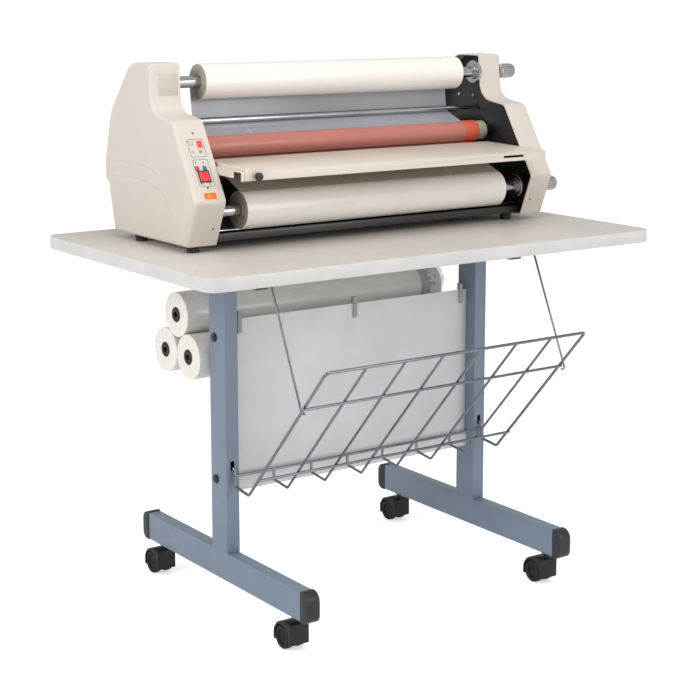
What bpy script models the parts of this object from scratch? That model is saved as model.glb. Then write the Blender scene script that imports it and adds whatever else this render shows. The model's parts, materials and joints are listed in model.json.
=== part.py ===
"""Roll laminator on a wheeled stand: each separate piece is its own object.

Frame: metres, +X to the operator's right, +Y to the rear, +Z up, floor at z = 0.
Sizes are given in stand coordinates, whose y = 0 lies close to the legs; the last
step moves everything by DEPTH_SHIFT so that the origin is under the middle.
"""

import math

import bmesh
import bpy
from mathutils import Matrix, Vector

# ---------------------------------------------------------------- driving sizes
GAP = 0.0003                      # left between pieces that rest on each other

TABLE_W, TABLE_FRONT, TABLE_BACK = 1.1346, -0.3472, 0.3485
TABLE_TOP, TABLE_T, TABLE_CORNER = 0.7912, 0.0273, 0.030
TABLE_UNDER = TABLE_TOP - TABLE_T

LEG_X, LEG_Y = 0.3351, -0.005     # centre lines of the two uprights
TUBE_W, LEG_D, TUBE_WALL = 0.0314, 0.0621, 0.0018
ARM_H, ARM_FRONT, ARM_BACK = 0.0434, -0.157, 0.147
FOOT_W, FOOT_LOW, FOOT_HIGH = 0.0290, 0.0737, 0.1354
FOOT_FRONT, FOOT_BACK, CAP_L = -0.3122, 0.3127, 0.026
SLOT_W, SLOT_LOW, SLOT_HIGH = 0.0085, 0.3165, 0.3365

WHEEL_R, WHEEL_HALF, WEB_HALF = 0.025, 0.0225, 0.0052
CASTER_TRAIL, AXLE_R, STEM_R = 0.022, 0.006, 0.005
CASTER_FRONT_Y, CASTER_REAR_Y = -0.277, 0.270

PANEL_Y, PANEL_T, PANEL_LOW, PANEL_HIGH = -0.004, 0.0015, 0.262, 0.633
BRACKET_X = {"left": -0.296, "middle": 0.002, "right": 0.301}
BRACKET_W, BRACKET_T, BRACKET_TOP = 0.010, 0.004, 0.648

ROLL_L = 0.686                    # film is supplied 27 inches wide
STORE_R, STORE_X = 0.0487, -0.370
STORE_FRONT_Y, STORE_REAR_Y, STORE_LOW_Z = 0.083, 0.181, 0.5435
CORE_R = 0.0129

RIB_COUNT, BASKET_HALF = 8, LEG_X
WIRE_R, FRAME_WIRE_R = 0.0025, 0.0033
BASKET_HINGE = (-0.0325, 0.3225)   # y, z of the hooks in the leg slots
BASKET_REAR = (-0.0470, 0.3070)
BASKET_HEEL = (-0.0470, 0.2840)
BASKET_TIP = (-0.1000, 0.2780)
BASKET_LOW = (-0.1430, 0.3205)
BASKET_MID = (-0.3125, 0.5060)
BASKET_TOP = (-0.3850, 0.5920)
ROD_X, ROD_R, ROD_TOP = 0.3445, 0.0024, (-0.1990, 0.7560)

# the machine stands on the table: its two side housings and what lies between
MID_X = 0.0175                    # the machine's own middle plane
LEFT_OUT, LEFT_RIM, LEFT_PLATE = -0.4550, -0.3850, (-0.4170, -0.4130)
RIGHT_OUT, RIGHT_RIM, RIGHT_PLATE = 0.4900, 0.4250, (0.4480, 0.4520)
COVER_T, COVER_EDGE = 0.0025, 0.008
PLATE_INSET, SWITCH_RELIEF = 0.0032, 0.018
COVER_LOW, COVER_TOP = 0.8040, 1.1645
COVER_CORNERS = (                 # y, z and corner radius, from the bottom front
    (-0.0660, COVER_LOW, 0.004),
    (-0.1035, 0.8970, 0.014),
    (-0.0065, 1.0535, 0.016),
    (0.0790, 1.0660, 0.042),
    (0.0860, COVER_TOP, 0.006),
    (0.1750, COVER_TOP, 0.050),
    (0.2620, 1.0600, 0.080),
    (0.2885, 0.9500, 0.050),
    (0.2870, 0.9130, 0.004),
    (0.2725, 0.9040, 0.004),
    (0.2430, COVER_LOW, 0.004),
)
SLOPE_LOW, SLOPE_HIGH = COVER_CORNERS[1][:2], COVER_CORNERS[2][:2]

UPPER_ROLL_Y, UPPER_ROLL_Z, UPPER_ROLL_R = 0.102, 1.1240, 0.0372
LOWER_ROLL_Y, LOWER_ROLL_Z, LOWER_ROLL_R = -0.0535, 0.8700, 0.0390
FILM_X = MID_X - ROLL_L / 2       # left edge of the film rolls and of the film
MANDREL_R, SPINDLE_R, HUB_R, HUB_X, HUB_L = 0.0125, 0.006, 0.0265, 0.4165, 0.007
KNOB_R, KNOB_L = 0.017, 0.045

NIP_Y, ROLLER_R = 0.0775, 0.024
SLEEVE_HALF, HUB_END, COLLAR_END = 0.3845, 0.426, 0.445
SLEEVE_X = (MID_X - SLEEVE_HALF, MID_X + SLEEVE_HALF)
TEETH = 24
MODULE = (2 * ROLLER_R + 0.0004) / TEETH   # sets the nip: two equal gears in mesh
UPPER_Z = 0.9895
LOWER_Z = UPPER_Z - MODULE * TEETH
PULL_TEETH, TRAIN_TEETH, PINION_TEETH = 20, 48, 21
PULL_R = MODULE * PULL_TEETH / 2 - 0.0002
PULL_LOWER_Z = 0.9450
PULL_UPPER_Z = PULL_LOWER_Z + MODULE * PULL_TEETH
TRAIN_DIST = MODULE * (TEETH + TRAIN_TEETH) / 2
PULL_DIST = MODULE * (PULL_TEETH + TRAIN_TEETH) / 2
TRAIN_TILT = math.asin((PULL_LOWER_Z - LOWER_Z) / (TRAIN_DIST + PULL_DIST))
PULL_Y = NIP_Y + (TRAIN_DIST + PULL_DIST) * math.cos(TRAIN_TILT)
TRAIN_Y = NIP_Y + TRAIN_DIST * math.cos(TRAIN_TILT)
TRAIN_Z = LOWER_Z + TRAIN_DIST * math.sin(TRAIN_TILT)
PINION_Z = TRAIN_Z - MODULE * (TRAIN_TEETH + PINION_TEETH) / 2
GEAR_X = (0.4580, 0.4670)
MOTOR_R, MOTOR_L = 0.029, 0.085

IDLER_Y, IDLER_Z, IDLER_R, IDLER_HALF = 0.121, 1.040, 0.0067, 0.367
IDLER_STUB_R = 0.004
TIE_Y, TIE_Z, TIE_R = -0.030, 0.8270, 0.005

TRAY_X = (-0.3810, 0.4160)
TRAY_BACK, TRAY_LIP = (0.043, 0.9655), (-0.1590, 0.9597)
TRAY_T, LIP_H, FLANGE_H, NOTCH = 0.0015, 0.0185, 0.0150, 0.0300
LIP_SLOT_X, LIP_SLOT_H = (0.294, 0.353), 0.005
GUIDE_X, GUIDE_KNOB_X = (-0.3740, -0.3300), -0.348

PAN_T, PAN_LOW, PAN_FRONT, PAN_BACK, PAN_REAR_H = 0.002, 0.8080, -0.050, 0.232, 0.115
MACHINE_FOOT_R = 0.0145

DEPTH_SHIFT = -(BASKET_TOP[0] - FRAME_WIRE_R + TABLE_BACK) / 2

COLLECTION = "roll_laminator"


# ---------------------------------------------------------------- scene and materials
def clear_scene():
    for obj in list(bpy.data.objects):
        bpy.data.objects.remove(obj)
    for name in (COLLECTION, "cutters"):
        group = bpy.data.collections.new(name)
        bpy.context.scene.collection.children.link(group)


def group(name):
    return bpy.data.collections[name]


def finish(name, red, green, blue, roughness=0.5, metallic=0.0):
    material = bpy.data.materials.new(name)
    material.use_nodes = True
    shader = material.node_tree.nodes["Principled BSDF"]
    shader.inputs["Base Color"].default_value = (red, green, blue, 1.0)
    shader.inputs["Roughness"].default_value = roughness
    shader.inputs["Metallic"].default_value = metallic
    return material


def make_finishes():
    return {
        "cream": finish("cream_plastic", 0.80, 0.76, 0.68, 0.45),
        "cream_metal": finish("cream_painted_sheet", 0.82, 0.77, 0.70, 0.40),
        "laminate": finish("table_laminate", 0.70, 0.67, 0.62, 0.50),
        "leg": finish("blue_grey_enamel", 0.28, 0.36, 0.44, 0.40),
        "panel": finish("light_grey_enamel", 0.55, 0.55, 0.58, 0.45),
        "black": finish("black_enamel", 0.02, 0.022, 0.025, 0.40),
        "plastic": finish("black_plastic", 0.02, 0.02, 0.024, 0.45),
        "rubber": finish("black_rubber", 0.02, 0.02, 0.02, 0.80),
        "chrome": finish("chrome_plate", 0.75, 0.76, 0.78, 0.12, 1.0),
        "steel": finish("bright_steel", 0.62, 0.62, 0.63, 0.30, 1.0),
        "silicone": finish("orange_silicone", 0.75, 0.14, 0.06, 0.45),
        "film": finish("film_roll_white", 0.86, 0.84, 0.78, 0.20),
        "stored": finish("wrapped_film_roll", 0.70, 0.68, 0.60, 0.25),
        "red": finish("red_lens", 0.80, 0.08, 0.06, 0.30),
        "amber": finish("amber_lens", 0.95, 0.30, 0.05, 0.25),
        "teal": finish("teal_button", 0.03, 0.30, 0.38, 0.40),
    }


# ---------------------------------------------------------------- shared shapes
def keep(obj, name, material):
    """Name a finished piece, give it its material and put it with the parts."""
    obj.name = name
    for owner in list(obj.users_collection):
        owner.objects.unlink(obj)
    group(COLLECTION).objects.link(obj)
    obj.data.materials.clear()
    obj.data.materials.append(material)
    return obj


def as_cutter(obj, name):
    obj.name = name
    for owner in list(obj.users_collection):
        owner.objects.unlink(obj)
    group("cutters").objects.link(obj)
    obj.hide_render = True
    obj.display_type = "WIRE"
    return obj


def new_mesh_object(mesh, name="piece"):
    obj = bpy.data.objects.new(name, mesh)
    bpy.context.scene.collection.objects.link(obj)
    return obj


def box(low, high, bevel=0.0, segments=2):
    """A block between two corners, with rounded edges where bevel is given."""
    bpy.ops.mesh.primitive_cube_add(size=1.0)
    obj = bpy.context.object
    size = [b - a for a, b in zip(low, high)]
    middle = [(a + b) / 2 for a, b in zip(low, high)]
    obj.data.transform(Matrix.Translation(middle) @ Matrix.Diagonal((*size, 1.0)))
    if bevel:
        rounding = obj.modifiers.new("edges", "BEVEL")
        rounding.width = bevel
        rounding.segments = segments
    return obj


def rounded(corners, step=math.radians(18)):
    """Points of a closed outline from (u, v, radius) corners, each turned as an arc."""
    points = []
    for i, (u, v, radius) in enumerate(corners):
        here = Vector((u, v))
        to_last = (Vector(corners[i - 1][:2]) - here).normalized()
        to_next = (Vector(corners[(i + 1) % len(corners)][:2]) - here).normalized()
        half = to_last.angle(to_next) / 2
        if not radius:
            points.append(here)
            continue
        centre = here + (to_last + to_next).normalized() * radius / math.sin(half)
        first = here + to_last * radius / math.tan(half) - centre
        sweep = math.pi - 2 * half
        turn = 1 if first.cross(here - centre) > 0 else -1
        count = max(2, math.ceil(sweep / step))
        for k in range(count + 1):
            spin = Matrix.Rotation(turn * sweep * k / count, 2)
            points.append(centre + spin @ first)
    return points


def inset(corners, distance):
    """The same clockwise outline drawn in by a distance, its arcs kept parallel."""
    result = []
    for i, (u, v, radius) in enumerate(corners):
        here = Vector((u, v))
        came = (here - Vector(corners[i - 1][:2])).normalized()
        goes = (Vector(corners[(i + 1) % len(corners)][:2]) - here).normalized()
        inward = Vector((came[1], -came[0])) + Vector((goes[1], -goes[0]))
        inward.normalize()
        reach = distance / inward.dot(Vector((came[1], -came[0])))
        outside_turn = came.cross(goes) < 0
        bend = radius - distance if outside_turn else radius + distance
        result.append((*(here + inward * reach), max(bend, 0.001)))
    return result


def circle(u, v, radius, count=32):
    return [
        Vector((u + radius * math.cos(2 * math.pi * k / count),
                v + radius * math.sin(2 * math.pi * k / count)))
        for k in range(count)
    ]


def flat(outlines, thickness):
    """A flat piece from closed outlines, the inner ones being holes, centred on local z = 0."""
    curve = bpy.data.curves.new("outline", "CURVE")
    curve.dimensions = "2D"
    curve.fill_mode = "BOTH"
    curve.extrude = thickness / 2
    for outline in outlines:
        spline = curve.splines.new("POLY")
        spline.points.add(len(outline) - 1)
        for point, place in zip(spline.points, outline):
            point.co = (place[0], place[1], 0.0, 1.0)
        spline.use_cyclic_u = True
    obj = bpy.data.objects.new("outline", curve)
    bpy.context.scene.collection.objects.link(obj)
    return obj


def solid(obj):
    """A curve, or an object with modifiers, as one plain welded mesh in world space."""
    graph = bpy.context.evaluated_depsgraph_get()
    graph.update()
    mesh = bpy.data.meshes.new_from_object(obj.evaluated_get(graph))
    mesh.transform(obj.matrix_world)
    work = bmesh.new()
    work.from_mesh(mesh)
    bmesh.ops.remove_doubles(work, verts=work.verts, dist=0.00001)
    work.to_mesh(mesh)
    work.free()
    bpy.data.objects.remove(obj)
    return new_mesh_object(mesh)


def plate_x(outlines, x0, x1):
    """Outlines in (y, z) given a thickness from x0 to x1."""
    obj = flat(outlines, x1 - x0)
    obj.rotation_euler = (math.pi / 2, 0.0, math.pi / 2)
    obj.location.x = (x0 + x1) / 2
    bpy.context.view_layer.update()
    return solid(obj)


def plate_z(outlines, z0, z1):
    obj = flat(outlines, z1 - z0)
    obj.location.z = (z0 + z1) / 2
    bpy.context.view_layer.update()
    return solid(obj)


def turned(profile, segments=32, ring=False):
    """A profile of (radius, height) points, from top to bottom, turned about local Z."""
    mesh = bpy.data.meshes.new("profile")
    edges = [(i, i + 1) for i in range(len(profile) - 1)]
    if ring:
        edges.append((len(profile) - 1, 0))
    mesh.from_pydata([(radius, 0.0, height) for radius, height in profile], edges, [])
    obj = new_mesh_object(mesh)
    screw = obj.modifiers.new("turn", "SCREW")
    screw.steps = segments
    screw.render_steps = segments
    screw.use_merge_vertices = True
    screw.merge_threshold = 0.00001
    return obj


def turned_x(profile, y, z, segments=28, ring=False):
    """A turned piece on an axis along X; the profile's heights are x places."""
    obj = turned(profile, segments, ring)
    obj.rotation_euler = (0.0, math.pi / 2, 0.0)
    obj.location = (0.0, y, z)
    bpy.context.view_layer.update()
    piece = solid(obj)
    piece.data.transform(Matrix.Translation((0.0, -y, -z)))
    piece.location = (0.0, y, z)
    smooth(piece)
    return piece


def smooth(obj):
    obj.data.shade_smooth()
    obj.data.set_sharp_from_angle(angle=math.radians(35))


def boolean(obj, other, how):
    step = obj.modifiers.new(how.lower(), "BOOLEAN")
    step.operation = how
    step.object = other
    return obj


def joined(first, *others):
    """One body from several solids that run into each other."""
    for other in others:
        boolean(first, other, "UNION")
        first = solid(first)
        bpy.data.objects.remove(other)
    return first


def cut(obj, *cutters):
    """What is left of a solid once the cutters are taken away."""
    for cutter in cutters:
        as_cutter(cutter, "cutter")
        boolean(obj, cutter, "DIFFERENCE")
        obj = solid(obj)
        bpy.data.objects.remove(cutter)
    return obj


def wire(points, radius):
    curve = bpy.data.curves.new("wire", "CURVE")
    curve.dimensions = "3D"
    curve.bevel_depth = radius
    curve.bevel_resolution = 2
    curve.use_fill_caps = True
    spline = curve.splines.new("POLY")
    spline.points.add(len(points) - 1)
    for point, place in zip(spline.points, points):
        point.co = (*place, 1.0)
    obj = bpy.data.objects.new("wire", curve)
    bpy.context.scene.collection.objects.link(obj)
    return solid(obj)


def merged(objects):
    """Solids that stay clear of each other, held in one mesh."""
    work = bmesh.new()
    for obj in objects:
        work.from_mesh(obj.data)
        bpy.data.objects.remove(obj)
    mesh = bpy.data.meshes.new("merged")
    work.to_mesh(mesh)
    work.free()
    return new_mesh_object(mesh)


def set_origin(obj, place):
    """Put the object's origin at a world place without moving its shape."""
    obj.data.transform(Matrix.Translation(obj.location - Vector(place)))
    obj.location = place
    return obj


# ---------------------------------------------------------------- the stand
def table(paint):
    half = TABLE_W / 2
    corners = [(-half, TABLE_FRONT), (half, TABLE_FRONT), (half, TABLE_BACK), (-half, TABLE_BACK)]
    outline = rounded([(x, y, TABLE_CORNER) for x, y in corners])
    keep(plate_z([outline], TABLE_UNDER, TABLE_TOP), "table_top", paint["laminate"])


def rectangle(u, v, width, height):
    return [(u - width / 2, v - height / 2), (u + width / 2, v - height / 2),
            (u + width / 2, v + height / 2), (u - width / 2, v + height / 2)]


def hollow(u, v, width, height):
    """The two outlines of a rectangular tube."""
    return [rectangle(u, v, width, height),
            rectangle(u, v, width - 2 * TUBE_WALL, height - 2 * TUBE_WALL)]


def along_y(outlines, y0, y1):
    """Outlines in (x, z) given a length from y0 to y1."""
    obj = flat(outlines, y1 - y0)
    obj.rotation_euler = (math.pi / 2, 0.0, 0.0)
    obj.location.y = (y0 + y1) / 2
    bpy.context.view_layer.update()
    return solid(obj)


def leg(side, x, paint):
    """An upright with the arm that carries the table welded across its top."""
    arm_low = TABLE_UNDER - GAP - ARM_H
    upright = plate_z([*hollow(x, LEG_Y, TUBE_W, LEG_D)], FOOT_HIGH + GAP, arm_low + 0.001)
    arm = along_y(hollow(x, arm_low + ARM_H / 2, TUBE_W, ARM_H), ARM_FRONT, ARM_BACK)
    front = LEG_Y - LEG_D / 2
    slot = box((x - SLOT_W / 2, front - 0.01, SLOT_LOW), (x + SLOT_W / 2, front + 0.01, SLOT_HIGH))
    keep(cut(joined(upright, arm), slot), f"{side}_leg", paint["leg"])


def foot(side, x, paint):
    tube = along_y(hollow(x, (FOOT_LOW + FOOT_HIGH) / 2, FOOT_W, FOOT_HIGH - FOOT_LOW),
                   FOOT_FRONT, FOOT_BACK)
    keep(tube, f"{side}_foot_tube", paint["leg"])
    for end, y, way in (("front", FOOT_FRONT - GAP, -1), ("rear", FOOT_BACK + GAP, 1)):
        middle = (FOOT_LOW + FOOT_HIGH) / 2
        tall = FOOT_HIGH - FOOT_LOW + 0.003
        outline = rounded([
            (y, middle - tall / 2, 0.0005), (y + way * CAP_L, middle - tall / 2, 0.016),
            (y + way * CAP_L, middle + tall / 2, 0.020), (y, middle + tall / 2, 0.0005)])
        cap = plate_x([outline], x - FOOT_W / 2 - 0.001, x + FOOT_W / 2 + 0.001)
        keep(cap, f"{side}_{end}_foot_cap", paint["plastic"])


def caster_meshes():
    """The fork with its stem, and the twin wheels on their axle, at the axle's centre."""
    outline = rounded([
        (-0.0335, -0.0110, 0.003), (0.0295, -0.0110, 0.003), (0.0295, 0.0120, 0.020),
        (0.0160, 0.0290, 0.016), (-0.0080, 0.0350, 0.010), (-0.0335, 0.0350, 0.006)])
    hood = plate_x([outline], -WHEEL_HALF, WHEEL_HALF)
    reach, clear, bore = 0.04, WHEEL_R + 0.0012, AXLE_R + 0.0005
    room = turned_x([(0.0, reach), (clear, reach), (clear, WEB_HALF), (bore, WEB_HALF),
                     (bore, -WEB_HALF), (clear, -WEB_HALF), (clear, -reach), (0.0, -reach)],
                    0.0, 0.0, 40)
    hood = cut(hood, room)
    stem_top = FOOT_LOW - GAP - WHEEL_R
    stem = turned([(0.0, stem_top), (0.011, stem_top), (0.011, stem_top - 0.003),
                   (STEM_R, stem_top - 0.003), (STEM_R, 0.032), (0.0, 0.032)], 20)
    stem.location.y = -CASTER_TRAIL
    bpy.context.view_layer.update()
    hood = joined(hood, solid(stem))
    half = [(0.0, WHEEL_HALF), (0.020, WHEEL_HALF), (0.0235, WHEEL_HALF - 0.001),
            (WHEEL_R, WHEEL_HALF - 0.004), (WHEEL_R, 0.009), (0.0235, 0.006), (AXLE_R, 0.006)]
    wheels = turned_x(half + [(radius, -x) for radius, x in reversed(half)], 0.0, 0.0, 36)
    return hood.data, wheels.data, (hood, wheels)


def casters(paint):
    hood, wheels, makers = caster_meshes()
    places = {"left_front": (-LEG_X, CASTER_FRONT_Y), "right_front": (LEG_X, CASTER_FRONT_Y),
              "left_rear": (-LEG_X, CASTER_REAR_Y), "right_rear": (LEG_X, CASTER_REAR_Y)}
    for name, (x, y) in places.items():
        axle = Vector((x, y + CASTER_TRAIL, WHEEL_R))
        fork = new_mesh_object(hood.copy())
        fork.location = axle
        keep(set_origin(fork, (x, y, FOOT_LOW - GAP)), f"{name}_caster_fork", paint["plastic"])
        pair = new_mesh_object(wheels)
        pair.location = axle
        keep(pair, f"{name}_caster_wheels", paint["plastic"])
    for maker in makers:
        bpy.data.objects.remove(maker)


def back_panel(paint):
    """The sheet between the legs, its foot turned forward and up as a stiffener."""
    half = LEG_X - TUBE_W / 2 - GAP
    y, low, thick = PANEL_Y, PANEL_LOW, PANEL_T
    outline = [(y, PANEL_HIGH), (y, low + thick), (y - 0.006, low + thick), (y - 0.006, low + 0.036),
               (y - 0.006 - thick, low + 0.036), (y - 0.006 - thick, low), (y + thick, low),
               (y + thick, PANEL_HIGH)]
    keep(plate_x([outline], -half, half), "back_panel", paint["panel"])


def roll_brackets(paint):
    """Straps hooked over the panel that carry the spare rolls behind it."""
    front = PANEL_Y - GAP
    back = PANEL_Y + PANEL_T + GAP
    shelf = STORE_LOW_Z - STORE_R - GAP
    end = STORE_REAR_Y + STORE_R + 0.008
    t = BRACKET_T
    outline = [(front, PANEL_HIGH + GAP), (front, 0.602), (front - t, 0.602), (front - t, BRACKET_TOP),
               (back + t, BRACKET_TOP), (back + t, shelf), (end - t, shelf), (end - t, shelf + 0.035),
               (end, shelf + 0.035), (end, shelf - t), (back, shelf - t), (back, PANEL_HIGH + GAP)]
    for side, x in BRACKET_X.items():
        strap = plate_x([outline], x - BRACKET_W / 2, x + BRACKET_W / 2)
        keep(strap, f"{side}_roll_bracket", paint["steel"])


def hollow_roll(radius, x0, x1, y, z):
    """A roll of film on its core, with slightly eased ends."""
    ease = 0.0015
    profile = [(CORE_R, x1), (radius - ease, x1), (radius, x1 - ease),
               (radius, x0 + ease), (radius - ease, x0), (CORE_R, x0)]
    return turned_x(profile, y, z, 40, ring=True)


def stored_rolls(paint):
    rise = math.sqrt((2 * STORE_R + GAP) ** 2 - ((STORE_REAR_Y - STORE_FRONT_Y) / 2) ** 2)
    places = {"front": (STORE_FRONT_Y, STORE_LOW_Z), "rear": (STORE_REAR_Y, STORE_LOW_Z),
              "top": ((STORE_FRONT_Y + STORE_REAR_Y) / 2, STORE_LOW_Z + rise)}
    for name, (y, z) in places.items():
        roll = hollow_roll(STORE_R, STORE_X, STORE_X + ROLL_L, y, z)
        keep(roll, f"{name}_spare_roll", paint["stored"])


def basket(paint):
    """The wire tray: a bent end-to-end frame, inner ribs and lengthwise wires."""
    step = 2 * BASKET_HALF / (RIB_COUNT - 1)
    inner = [wire([(x, *BASKET_REAR), (x, *BASKET_HEEL), (x, *BASKET_TIP), (x, *BASKET_TOP)], WIRE_R)
             for x in (-BASKET_HALF + step * k for k in range(1, RIB_COUNT - 1))]
    corner = 0.010
    side = []
    for x in (-BASKET_HALF, BASKET_HALF):
        turn = math.copysign(corner, x)
        rise = (Vector(BASKET_TOP) - Vector(BASKET_TIP)).normalized() * corner
        side.append([(x, *BASKET_HINGE), (x, BASKET_REAR[0] + 0.006, BASKET_HINGE[1]),
                     (x, *BASKET_REAR), (x, *BASKET_HEEL), (x, *BASKET_TIP),
                     (x, BASKET_TOP[0] - rise[0], BASKET_TOP[1] - rise[1]),
                     (x - turn * 0.3, BASKET_TOP[0] - rise[0] * 0.3, BASKET_TOP[1] - rise[1] * 0.3),
                     (x - turn, *BASKET_TOP)])
    frame = wire(side[0] + side[1][::-1], FRAME_WIRE_R)
    reach = BASKET_HALF + 0.001
    bars = [wire([(-reach, *place), (reach, *place)], radius) for place, radius in
            ((BASKET_REAR, 0.0027), (BASKET_LOW, 0.0027), (BASKET_MID, 0.0027))]
    whole = joined(merged(inner), merged(bars), frame)
    keep(set_origin(whole, (0.0, *BASKET_HINGE)), "wire_basket", paint["chrome"])


def basket_rods(paint):
    """The rods the basket hangs by, each hooked under the end of its middle wire."""
    drop = BASKET_MID[1] - 0.0075
    for side, way in (("left", -1), ("right", 1)):
        x = way * ROD_X
        path = [(x, *ROD_TOP), (x, BASKET_MID[0] - 0.001, drop + 0.003),
                (x - way * 0.002, BASKET_MID[0] - 0.002, drop), (x - way * 0.012, BASKET_MID[0], drop - 0.001)]
        rod = wire(path, ROD_R)
        keep(set_origin(rod, (x, *ROD_TOP)), f"{side}_basket_rod", paint["chrome"])


# ---------------------------------------------------------------- the machine's frame and housings
def housing(name, outer, rim, paint):
    """A moulded side housing: a shell open towards the machine, with a rounded outer edge."""
    work = bmesh.new()
    outline = [work.verts.new((outer, y, z)) for y, z in rounded(COVER_CORNERS)]
    face = work.faces.new(outline)
    wall = bmesh.ops.extrude_edge_only(work, edges=face.edges[:])
    moved = [item for item in wall["geom"] if isinstance(item, bmesh.types.BMVert)]
    bmesh.ops.translate(work, verts=moved, vec=(rim - outer, 0.0, 0.0))
    bmesh.ops.recalc_face_normals(work, faces=work.faces[:])
    if face.normal.x * (outer - rim) < 0:
        bmesh.ops.reverse_faces(work, faces=work.faces[:])
    mesh = bpy.data.meshes.new(name)
    work.to_mesh(mesh)
    work.free()
    shell = new_mesh_object(mesh)
    edge = shell.modifiers.new("outer edge", "BEVEL")
    edge.width = COVER_EDGE
    edge.segments = 2
    edge.limit_method = "ANGLE"
    edge.angle_limit = math.radians(60)
    wall = shell.modifiers.new("wall", "SOLIDIFY")
    wall.thickness = COVER_T
    wall.offset = -1.0
    return solid(shell)


def slope_frame(along):
    """Place and turn of the control slope, a given way up it from its lower corner."""
    low, high = Vector(SLOPE_LOW), Vector(SLOPE_HIGH)
    way = (high - low).normalized()
    place = low + way * along
    return place, math.atan2(way[1], way[0])


CONTROLS = {                      # x, way up the slope, width, height, how proud, finish
    "power_rocker": (-0.4176, 0.0195, 0.0250, 0.0130, 0.0022, "amber"),
    "run_rocker": (-0.4080, 0.1290, 0.0120, 0.0150, 0.0022, "red"),
    "direction_rocker": (-0.4177, 0.0575, 0.0200, 0.0205, 0.0025, "red"),
    "stop_button": (-0.4287, 0.0760, 0.0075, 0.0095, 0.0020, "red"),
    "run_button": (-0.4115, 0.0760, 0.0075, 0.0095, 0.0020, "teal"),
}
CONTROL_DEPTH = 0.010


def on_slope(obj, x, along):
    """Lay a piece modelled at the origin, face along local +Z, on the control slope."""
    (y, z), angle = slope_frame(along)
    obj.rotation_euler = (angle, 0.0, 0.0)
    obj.location = (x, y, z)
    bpy.context.view_layer.update()
    return solid(obj)


def control_block(width, height, proud, grow):
    low = (-width / 2 - grow, -height / 2 - grow, -CONTROL_DEPTH - grow)
    high = (width / 2 + grow, height / 2 + grow, proud + grow)
    return box(low, high, 0.0 if grow else 0.0008, 1)


def controls(paint):
    for name, (x, along, width, height, proud, colour) in CONTROLS.items():
        key = on_slope(control_block(width, height, proud, 0.0), x, along)
        (y, z), _ = slope_frame(along)
        keep(set_origin(key, (x, y, z)), name, paint[colour])


def housings(paint):
    left = housing("left", LEFT_OUT, LEFT_RIM, paint)
    clear = 0.0008
    holes = [on_slope(control_block(width, height, proud, clear), x, along)
             for x, along, width, height, proud, _ in CONTROLS.values()]
    keep(cut(left, merged(holes)), "left_housing", paint["cream"])
    right = housing("right", RIGHT_OUT, RIGHT_RIM, paint)
    bore = SPINDLE_R + 0.002
    holes = [turned_x([(0.0, RIGHT_OUT + 0.01), (bore, RIGHT_OUT + 0.01),
                       (bore, RIGHT_OUT - 0.01), (0.0, RIGHT_OUT - 0.01)], y, z, 24)
             for y, z in ((UPPER_ROLL_Y, UPPER_ROLL_Z), (LOWER_ROLL_Y, LOWER_ROLL_Z))]
    holes = [solid(hole) for hole in holes]
    keep(cut(right, merged(holes)), "right_housing", paint["cream"])


def side_plates(paint):
    """The steel cheeks that carry every shaft, each with its clearance holes."""
    shafts = ((UPPER_ROLL_Y, UPPER_ROLL_Z), (LOWER_ROLL_Y, LOWER_ROLL_Z), (NIP_Y, UPPER_Z),
              (NIP_Y, LOWER_Z), (PULL_Y, PULL_UPPER_Z), (PULL_Y, PULL_LOWER_Z))
    bores = [circle(y, z, SPINDLE_R + 0.001, 24) for y, z in shafts]
    bores.append(circle(IDLER_Y, IDLER_Z, IDLER_STUB_R + 0.001, 24))
    right_only = [circle(TRAIN_Y, PINION_Z, 0.005, 24)]
    outline = rounded(inset(COVER_CORNERS, PLATE_INSET))
    behind = [(y + SWITCH_RELIEF if i in (1, 2) else y, z, radius)
              for i, (y, z, radius) in enumerate(COVER_CORNERS)]
    left_outline = rounded(inset(behind, PLATE_INSET))
    keep(plate_x([left_outline, *bores], *LEFT_PLATE), "left_side_plate", paint["black"])
    keep(plate_x([outline, *bores, *right_only], *RIGHT_PLATE), "right_side_plate", paint["black"])


def base_pan(paint):
    """The folded floor of the machine, with a short front lip and a high rear wall."""
    low, thick = PAN_LOW, PAN_T
    rear_top = PAN_LOW + PAN_REAR_H
    outline = [(PAN_FRONT, low), (PAN_BACK, low), (PAN_BACK + 0.018, rear_top),
               (PAN_BACK + 0.018 - thick, rear_top), (PAN_BACK - thick, low + thick),
               (PAN_FRONT + thick, low + thick), (PAN_FRONT + thick, low + 0.016),
               (PAN_FRONT, low + 0.016)]
    pan = plate_x([outline], LEFT_PLATE[1] + GAP, RIGHT_PLATE[0] - GAP)
    keep(pan, "base_pan", paint["black"])


def machine_feet(paint):
    under = {"left_front": (-0.429, -0.047, COVER_LOW), "left_rear": (-0.436, 0.155, COVER_LOW),
             "right_front": (0.409, -0.033, PAN_LOW), "right_rear": (0.395, 0.140, PAN_LOW)}
    for name, (x, y, top) in under.items():
        low, high = TABLE_TOP + GAP, top - GAP
        rubber = turned([(0.0, high), (MACHINE_FOOT_R, high), (MACHINE_FOOT_R, high - 0.004),
                         (MACHINE_FOOT_R - 0.002, low), (0.0, low)], 24)
        rubber.location = (x, y, 0.0)
        bpy.context.view_layer.update()
        rubber = solid(rubber)
        smooth(rubber)
        keep(rubber, f"{name}_rubber_foot", paint["rubber"])


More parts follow.
